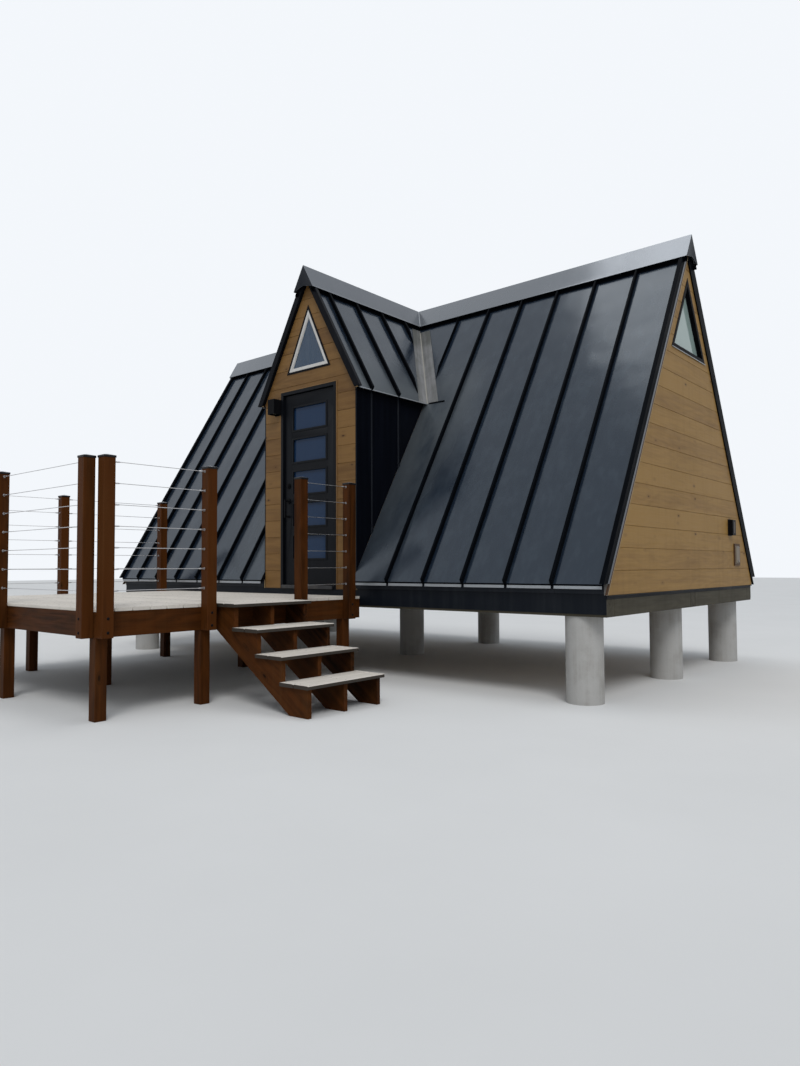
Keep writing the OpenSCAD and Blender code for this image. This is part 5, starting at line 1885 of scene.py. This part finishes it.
    def _line_entry(self, soffits: Shape, side: int) -> None:
        """Adds the lining under one half of the entry roof and the plates on its side wall."""
        z, x, front = PLAN.entry_eave_z, PLAN.entry_x, PLAN.entry_front
        low, high = PLAN.entry_rake_low - self.soffit_t, PLAN.entry_rake_low - PROUD
        lining = [(x + side * PLAN.entry_at(z, low), z), (x + side * PLAN.entry_at(z, high), z)]
        lining += [(x, PLAN.entry_apex(high)), (x, PLAN.entry_apex(low))]
        soffits.draw(lining, Axis.Y, -PLAN.entry_face + 0.001, -front - PROUD)
        level, back = PLAN.pan_level - 0.002, PLAN.board_t - front - PROUD
        top = PLAN.floor_z + (PLAN.floor_half + level / math.sin(PLAN.slope) + back) * math.tan(PLAN.slope)
        wall, eave = x + side * PLAN.entry_half, PLAN.eave_z - 0.001
        plate = [(-PLAN.half(PLAN.eave_z, level), eave), (back, eave), (back, top)]
        soffits.draw(plate, Axis.X, *span(side, 0.0, -self.wall_plate_t, wall))
        a, b = span(side, 0.0, -self.lining_t, wall)
        soffits.box((a, -front, PLAN.floor_z + 0.001), (b, back, top))

    def _entry_eaves(self) -> None:
        """Adds the entry's soffits with its linings, and the bright drip edges."""
        z, x, t = PLAN.entry_eave_z, PLAN.entry_x, self.soffit_t
        inner = PLAN.entry_half + PLAN.rib_h - 0.003
        outer = PLAN.entry_at(z, PLAN.entry_pan_level) - 0.002
        y0, y1 = -PLAN.entry_face + PLAN.rake_t + 0.030, -PLAN.half(z, PLAN.pan_level) - 0.002
        flat = [(inner, z), (outer, z), (outer, z - t), (inner, z - t)]
        lip = [(outer, z), (outer + 0.006, z + 0.002), (outer + 0.008, z - 0.008)]
        lip += [(outer + 0.0065, z - 0.010), (outer + 0.003, z - 0.008), (outer, z - t)]
        soffits, drips = Shape(), Shape()
        for side in (1, -1):
            soffits.draw([(x + side * a, b) for a, b in flat], Axis.Y, y0, y1)
            drips.draw([(x + side * a, b) for a, b in lip], Axis.Y, y0, y1)
            self._line_entry(soffits, side)
        self.add(soffits, "entry_soffits", "trim_paint", "roof_metal")
        self.add(drips, "entry_drip_edges", "drip_metal", "bare_metal")

    def _valley_feet(self) -> None:
        """Adds the black strips under the flashings' feet, on the front slope: their hem, with painted shadow
        below it.
        """
        level, fall = PLAN.pan_level, PLAN.entry_eave_z - PLAN.floor_z
        up = (fall - level * math.cos(PLAN.slope)) / math.sin(PLAN.slope)
        feet = Shape()
        for side in (1, -1):
            a, b = span(side, *self.foot_x, PLAN.entry_x)
            feet.box((a, up - 0.008, level - 0.002), (b, up + 0.002, level + 0.009))
        settle(turned(feet.piece("valley_feet", self.palette["seam_paint"]), PLAN.main_frame()), "roof_metal")


@dataclass
class Entry(Assembly):
    """The entry's walls, boards, side cladding and transom window."""

    trim_w: float = 0.016
    bar: float = 0.036
    trim_out: float = 0.004
    sash_t: float = 0.080
    pane_in: float = 0.012
    pane_t: float = 0.024
    casing_w: float = 0.010
    casing_y: tuple[float, float] = (-0.009, 0.004)
    wall_in: float = 0.008
    lip: tuple[float, float] = (0.004, 0.026)

    def build(self) -> None:
        """Builds the entry."""
        dress(self.palette["lining_ply"], "entry_wall", "entry_side_walls")
        self._boards()
        # The ribs' bevelled edges take a lighter finish: painted highlight.
        ribs = ("rib_edge", lambda face: min(abs(face.normal.x), abs(face.normal.y)) > 0.3)
        node, name = "entry_side_cladding", "entry_side_sheets"
        self.ease(node, name, "cladding_paint", "roof_metal", 0.004, second=ribs)
        self._transom()
        self._casing()

    def _boards(self) -> None:
        """Lays the boards in rows, cut to the rafters and round the door and the transom."""
        face, back, x = -PLAN.entry_front, -PLAN.entry_front + PLAN.board_t, PLAN.entry_x
        # The entry's boards take a darker copy of the gable pine: painted shade.
        boards = Cladding().lay(self, "entry_cladding", Axis.X, face, (x - 0.80, x + 0.80), "pine_entry")
        out, eave, level = PLAN.entry_half - self.wall_in, PLAN.entry_eave_z, PLAN.entry_rake_low
        inside = PLAN.entry_at(eave, level)
        wall = [(x - out, PLAN.floor_z), (x + out, PLAN.floor_z), (x + out, eave), (x + inside, eave)]
        wall += [(x, PLAN.entry_apex(level)), (x - inside, eave), (x - out, eave)]
        carve(boards, Shape().draw(wall, Axis.Y, face - 0.01, back + 0.01), "INTERSECT")
        low = (x - PLAN.door_half, face - 0.02, 0.5)
        carve(boards, Shape().box(low, (x + PLAN.door_half, back + 0.02, PLAN.door_top)))
        carve(boards, Shape().draw(PLAN.transom(0), Axis.Y, face - 0.02, back + 0.02))
        settle(stamp_grain(boards, 29, (1, 0, 0)), "pine_boards", "entry_boards")

    def _transom(self) -> None:
        """Adds the transom's dark trim, its white frame with a bead, and the pane."""
        face, ring, trim, inner = -PLAN.entry_front, PLAN.transom, self.trim_w, self.trim_w + self.bar
        back, pane_y = face + PLAN.board_t + self.sash_t, face + self.pane_in
        dark = Shape().ring(ring(-0.004), ring(trim), Axis.Y, face - self.trim_out, face + PLAN.board_t)
        self.add(dark, "transom_trim", "trim_paint", "roof_metal")
        white = Shape().ring(ring(trim), ring(inner), Axis.Y, face + 0.002, back)
        near, far = (ring(trim + width) for width in self.lip)
        white.ring(near, far, Axis.Y, face - 0.003, face + 0.003)
        self.add(white, "transom_sash", "white_vinyl", "white_frame", "transom_frame")
        near, far = ring(inner - 0.001), ring(inner + 0.003)
        beads = Shape().ring(near, far, Axis.Y, pane_y - 0.006, pane_y + 0.001)
        self.add(beads, "transom_beads", "white_vinyl", "white_frame")
        pane = Shape().draw(ring(inner - 0.0005), Axis.Y, pane_y, pane_y + self.pane_t)
        # The transom pane's blue is painted reflection.
        self.add(pane, "transom_pane", "transom_glass", "window_glass")

    def _casing(self) -> None:
        """Adds the thin light casing edge round the door frame."""
        casing = Shape()
        y0, y1 = (-PLAN.entry_front + out for out in self.casing_y)
        x, half, top, w = PLAN.entry_x, PLAN.door_half, PLAN.door_top, self.casing_w
        for side in (1, -1):
            a, b = span(side, half, half + w, x)
            casing.bar((a, y0, PLAN.floor_z), (b, y1, top), Axis.Z, 0.002)
        casing.bar((x - half - w, y0, top), (x + half + w, y1, top + w), Axis.X, 0.002)
        self.add(casing, "door_casing_edge", "pine_trim", "pine_boards", seed=31)


@dataclass
class Door(Assembly):
    """Frame, sill, leaf with its beads and panes, and the lock."""

    lites: int = 5
    lite_w: float = 0.508
    lite_h: float = 0.252
    pitch: float = 0.346
    top: float = 2.809
    middle_x: float = 0.137
    leaf_y0: float = -1.862
    leaf_y1: float = -1.818
    bead_w: float = 0.014
    bead_in: float = 0.006
    bead_out: float = 0.005
    sill_ribs: int = 3
    rib_low: Point = (-0.245, -1.905, 0.8945)
    rib_high: Point = (0.516, -1.900, 0.8975)
    rib_step: float = 0.013

    def build(self) -> None:
        """Builds the door."""
        self.ease("door_frame", "door_jambs", "door_paint", "door_paint", 0.002)
        self.ease("door_sill", "door_threshold", "sill_metal", "door_sill", 0.003)
        part, step = Shape().bar(self.rib_low, self.rib_high, Axis.X, 0.001).part("rib"), self.rib_step
        settle(self.repeat("sill_ribs", part, self.sill_ribs, (0.0, step, 0.0), "sill_metal"), "door_sill")
        self.ease("door_leaf", "door_slab", "door_paint", "door_paint", 0.002, body=Body.DOOR)
        self._beads()
        # The lites' blue is painted reflection.
        self.ease("door_glass", "door_lites", "lite_glass", "door_glass", 0.0, body=Body.DOOR)
        lock = ("door_lockset", "door_lock_fittings", "black_iron", "black_hardware")
        self.ease(*lock, 0.0015, body=Body.DOOR)

    def _beads(self) -> None:
        """Adds the glazing beads round each lite on both faces of the leaf."""
        part = Shape()
        x, w, out, deep = self.middle_x, self.lite_w / 2, self.bead_w, self.bead_in
        low, top = self.top - self.lite_h, self.top
        outer = rect(x - w - out, low - out, x + w + out, top + out)
        slim = rect(x - w + deep, low + deep, x + w - deep, top - deep)
        part.ring(outer, slim, Axis.Y, self.leaf_y0 - self.bead_out, self.leaf_y0 + deep)
        part.ring(outer, slim, Axis.Y, self.leaf_y1 - deep, self.leaf_y1 + self.bead_out)
        bead = ease_edges(part.part("bead"), 0.0015)
        beads = self.repeat("door_beads", bead, self.lites, (0.0, 0.0, -self.pitch), "door_paint")
        settle(beads, "door_paint", body=Body.DOOR)


@dataclass
class Lamps(Assembly):
    """Both wall lamps with their lenses."""

    entry_place: Point = (-0.342, -PLAN.entry_front, 2.753)
    gable_place: Point = (PLAN.half_len, 1.130, 1.405)
    entry_depth: float = 0.110
    gable_depth: float = 0.050
    width: float = 0.105
    lens_in: float = 0.0045
    lens_rows: tuple[tuple[float, float], ...] = ((0.020, 0.0405), (0.1235, 0.146))
    plate_half: float = 0.060
    plate_t: float = 0.004
    plate_z: tuple[float, float] = (-0.006, 0.170)
    stripe_half: float = 0.014
    stripe_z: tuple[float, float] = (0.022, 0.142)

    def build(self) -> None:
        """Builds the lamps."""
        self.ease("wall_lamps", "lamp_housings", "black_iron", "black_hardware", 0.002)
        lenses, plates = Shape(), Shape()
        half, plate, t, (low, high) = self.width / 2, self.plate_half, self.plate_t, self.plate_z
        x, y, z = self.entry_place
        plates.bar((x - half, y - t, z + low), (x + plate, y, z + high), Axis.Y, 0.002)
        self._lenses(lenses, (x, y - self.entry_depth / 2, z), half, self.entry_depth / 2)
        x, y, z = self.gable_place
        plates.bar((x, y - plate, z + low), (x + t, y + plate, z + high), Axis.X, 0.002)
        self._lenses(lenses, (x + self.gable_depth / 2, y, z), self.gable_depth / 2, half)
        front, (low, high) = x + self.gable_depth, self.stripe_z
        start = (front - 0.0005, y - self.stripe_half, z + low)
        stripe = Shape().box(start, (front + 0.0015, y + self.stripe_half, z + high))
        self.add(stripe, "lamp_stripe", "lamp_stripe", "black_hardware")
        self.add(lenses, "lamp_lenses", "lamp_lens", "black_hardware")
        self.add(plates, "lamp_back_plates", "black_iron", "black_hardware")

    def _lenses(self, lenses: Shape, middle: Point, half_x: float, half_y: float) -> None:
        """Adds both lenses of a lamp, a little smaller than its housing."""
        (x, y, z), a, b = middle, half_x - self.lens_in, half_y - self.lens_in
        for low, high in self.lens_rows:
            lenses.draw(rect(x - a, y - b, x + a, y + b), Axis.Z, z + low, z + high)


@dataclass
class Deck(Assembly):
    """Supports, rims, joists, separate boards and their screws."""

    boards: int = 19
    joists: int = 9
    gap: float = 0.005
    edge: float = 0.0035
    rim_t: float = 0.038
    screw_in: float = 0.022
    jitter: Point = (0.0015, 0.0, 0.0004)

    def build(self) -> None:
        """Builds the deck."""
        for node, name, seed in (("deck_supports", "deck_legs", 37), ("deck_frame", "deck_rims", 41)):
            self.ease(node, name, "stained_pine", "stained_timber", 0.003, seed)
        pitch = (PLAN.deck_y1 - PLAN.deck_y0 + self.gap) / self.boards
        low = (PLAN.deck_x0, PLAN.deck_y0, PLAN.deck_z - PLAN.board_thick)
        high = (PLAN.deck_x1, PLAN.deck_y0 + pitch - self.gap, PLAN.deck_z)
        part = Shape().bar(low, high, Axis.X, self.edge).part("board")
        step = (0.0, pitch, 0.0)
        planks = self.repeat("deck_planks", part, self.boards, step, "deck_composite", 13, self.jitter)
        settle(stamp_grain(planks, 43, (1, 0, 0)), "deck_boards", "deck_boards")
        self._screws(pitch)

    def _screws(self, pitch: float) -> None:
        """Drives two screws through each board at each joist."""
        x0, x1, rim, z = PLAN.deck_x0, PLAN.deck_x1, self.rim_t, PLAN.deck_z + PROUD
        span_x = x1 - x0 - 2 * rim
        xs = [x0 + rim / 2, x1 - rim / 2]
        xs += [x0 + rim + i * span_x / (self.joists - 1) for i in range(1, self.joists - 1)]
        places = []
        for row in range(self.boards):
            y = PLAN.deck_y0 + row * pitch
            ends = (y + self.screw_in, y + pitch - self.gap - self.screw_in)
            places += [(x, end, z) for x in xs for end in ends]
        settle(self.heads("deck_screws", places, SCREW, "screw_steel"), "deck_boards")


@dataclass
class Stair(Assembly):
    """Stringers, and treads of two boards each."""

    treads: int = 4
    y0: float = -3.6003
    width: float = 0.825
    run: float = 0.283
    rise: float = 0.187
    landing: float = 0.264
    tread_t: float = 0.028
    nosing: float = 0.025
    clear: float = 0.0003
    gap: float = 0.009
    edge: float = 0.0035
    screw_in: tuple[float, float] = (0.025, 0.044)

    def build(self) -> None:
        """Builds the stair."""
        stringers = ("stair_stringers", "stair_carriages", "stained_pine", "stained_timber")
        self.ease(*stringers, 0.002, 47)
        planks, screws = Shape(), []
        y1, (in_x, in_y) = self.y0 + self.width, self.screw_in
        for i in range(self.treads):
            front = PLAN.deck_x1 + self.landing + i * self.run
            back = (PLAN.deck_x1 if i == 0 else front - self.run - self.nosing) + self.clear
            top = PLAN.deck_z - i * self.rise
            middle = (front + back) / 2
            for a, b in ((back, middle - self.gap / 2), (middle + self.gap / 2, front)):
                planks.bar((a, self.y0, top - self.tread_t), (b, y1, top), Axis.Y, self.edge)
                for y in (self.y0 + in_y, self.y0 + self.width / 2, y1 - in_y):
                    screws += [(a + in_x, y, top + PROUD), (b - in_x, y, top + PROUD)]
        treads = planks.piece("stair_planks", self.palette["deck_composite"])
        # The treads' sides take a darker finish: painted shade.
        shade(treads, self.palette["tread_edge"], lambda face: face.normal.z < 0.5)
        settle(stamp_grain(treads, 53, (0, 1, 0)), "deck_boards", "stair_treads")
        settle(self.heads("stair_screws", screws, SCREW, "screw_steel"), "deck_boards")


@dataclass
class Railing(Assembly):
    """Posts with their caps and bolts, and taut cables with end fittings."""

    post: float = 0.089
    top: float = 1.890
    cables: int = 7
    step: float = 0.155
    under: float = 0.035
    side_x: float = 0.9285
    far_x: float = -2.3005
    front_y: float = -4.6448
    side_ys: tuple[float, ...] = (-4.5558, -3.6798, -2.6958, -2.0753)
    left_ys: tuple[float, ...] = (-4.5558, -3.3155, -2.0753)
    front_xs: tuple[float, ...] = (-2.181, -0.632, 0.809)
    bolt_zs: tuple[float, float] = (0.630, 0.730)
    cap_edge: float = 0.004
    cable_r: float = 0.0025
    cable_in: float = 0.05

    def build(self) -> None:
        """Builds the railing."""
        self.ease("rail_posts", "rail_timber_posts", "stained_pine", "stained_timber", 0.004, 59)
        high = self.top + self.cap_edge
        panel = ("cap_panel", lambda face: 0.5 < face.normal.z < 0.999 and face.center.z > high)
        self.ease("post_caps", "rail_post_caps", "cap_black", "black_hardware", 0.0015, second=panel)
        self._cables()
        self._bolts()

    def _cable(self, length: float) -> bpy.types.Object:
        """One cable along X with a washer, a nut and a swaged fitting at each end."""
        shape = Shape().rod((self.cable_in, 0, 0), (length - self.cable_in, 0, 0), self.cable_r, 8)
        # Both ends along the cable, radius, sides and the radius of the tip
        fittings = ((0.0, 0.002, 0.010, 12, None), (0.002, 0.010, 0.0085, 6, None))
        fittings += ((0.010, 0.040, 0.0065, 10, None), (0.040, 0.058, 0.0065, 10, 0.0035))
        for end, way in ((0.0, 1), (length, -1)):
            for near, far, radius, sides, tip in fittings:
                shape.rod((end + way * near, 0, 0), (end + way * far, 0, 0), radius, sides, tip)
        return shape.part("cable")

    def _cables(self) -> None:
        """Strings the cables in each bay."""
        half, z, quarter = self.post / 2, self.top - self.under, Matrix.Rotation(math.pi / 2, 4, "Z")
        side, left, front = self.side_ys, self.left_ys, self.front_xs
        bays = [(self.side_x, *pair, quarter) for pair in (side[:2], side[2:])]
        bays += [(self.far_x, *pair, quarter) for pair in zip(left, left[1:])]
        bays += [(self.front_y, *pair, None) for pair in zip(front, front[1:])]
        runs = []
        for fixed, a, b, turn in bays:
            part = self._cable(b - a - self.post)
            run = self.repeat("cables", part, self.cables, (0.0, 0.0, -self.step), "steel")
            place = (fixed, a + half, z) if turn else (a + half, fixed, z)
            runs.append(turned(run, Matrix.Translation(place) @ (turn or Matrix.Identity(4))))
        settle(smooth_round(joined("rail_wires", runs), 40.0), "steel_cable", "rail_cables")

    def _bolts(self) -> None:
        """Adds two bolt heads through each post into the rim."""
        half = self.post / 2
        groups = {
            (1.0, 0.0, 0.0): [(self.side_x + half, y) for y in self.side_ys],
            (-1.0, 0.0, 0.0): [(self.far_x - half, y) for y in self.left_ys],
            (0.0, -1.0, 0.0): [(x, self.front_y - half) for x in self.front_xs],
        }
        heads = []
        for facing, spots in groups.items():
            places = [(x, y, z) for x, y in spots for z in self.bolt_zs]
            heads.append(self.heads("bolts", places, BOLT, "black_iron", facing))
        settle(joined("post_bolts", heads), "black_hardware")


def write_size() -> None:
    """Brings the scene's view layer up to date."""
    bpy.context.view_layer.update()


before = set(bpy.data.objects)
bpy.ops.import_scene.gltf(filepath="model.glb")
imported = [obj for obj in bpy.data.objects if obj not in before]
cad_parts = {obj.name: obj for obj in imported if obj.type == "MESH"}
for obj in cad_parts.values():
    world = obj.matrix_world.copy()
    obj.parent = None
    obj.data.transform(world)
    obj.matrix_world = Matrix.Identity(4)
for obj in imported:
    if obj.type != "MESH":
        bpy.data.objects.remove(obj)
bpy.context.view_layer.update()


def main() -> None:
    """Builds the camera, the studio and each sub-assembly in turn."""
    logging.basicConfig(level=logging.INFO, format="%(message)s")
    ViewPoint().build()
    Studio().build()
    palette, trees = Palette(), GrowTrees()
    for assembly in (Base, Gables, Roof, Entry, Door, Lamps, Deck, Stair, Railing):
        assembly(palette, trees).build()
    write_size()


if __name__ == "__main__":
    main()
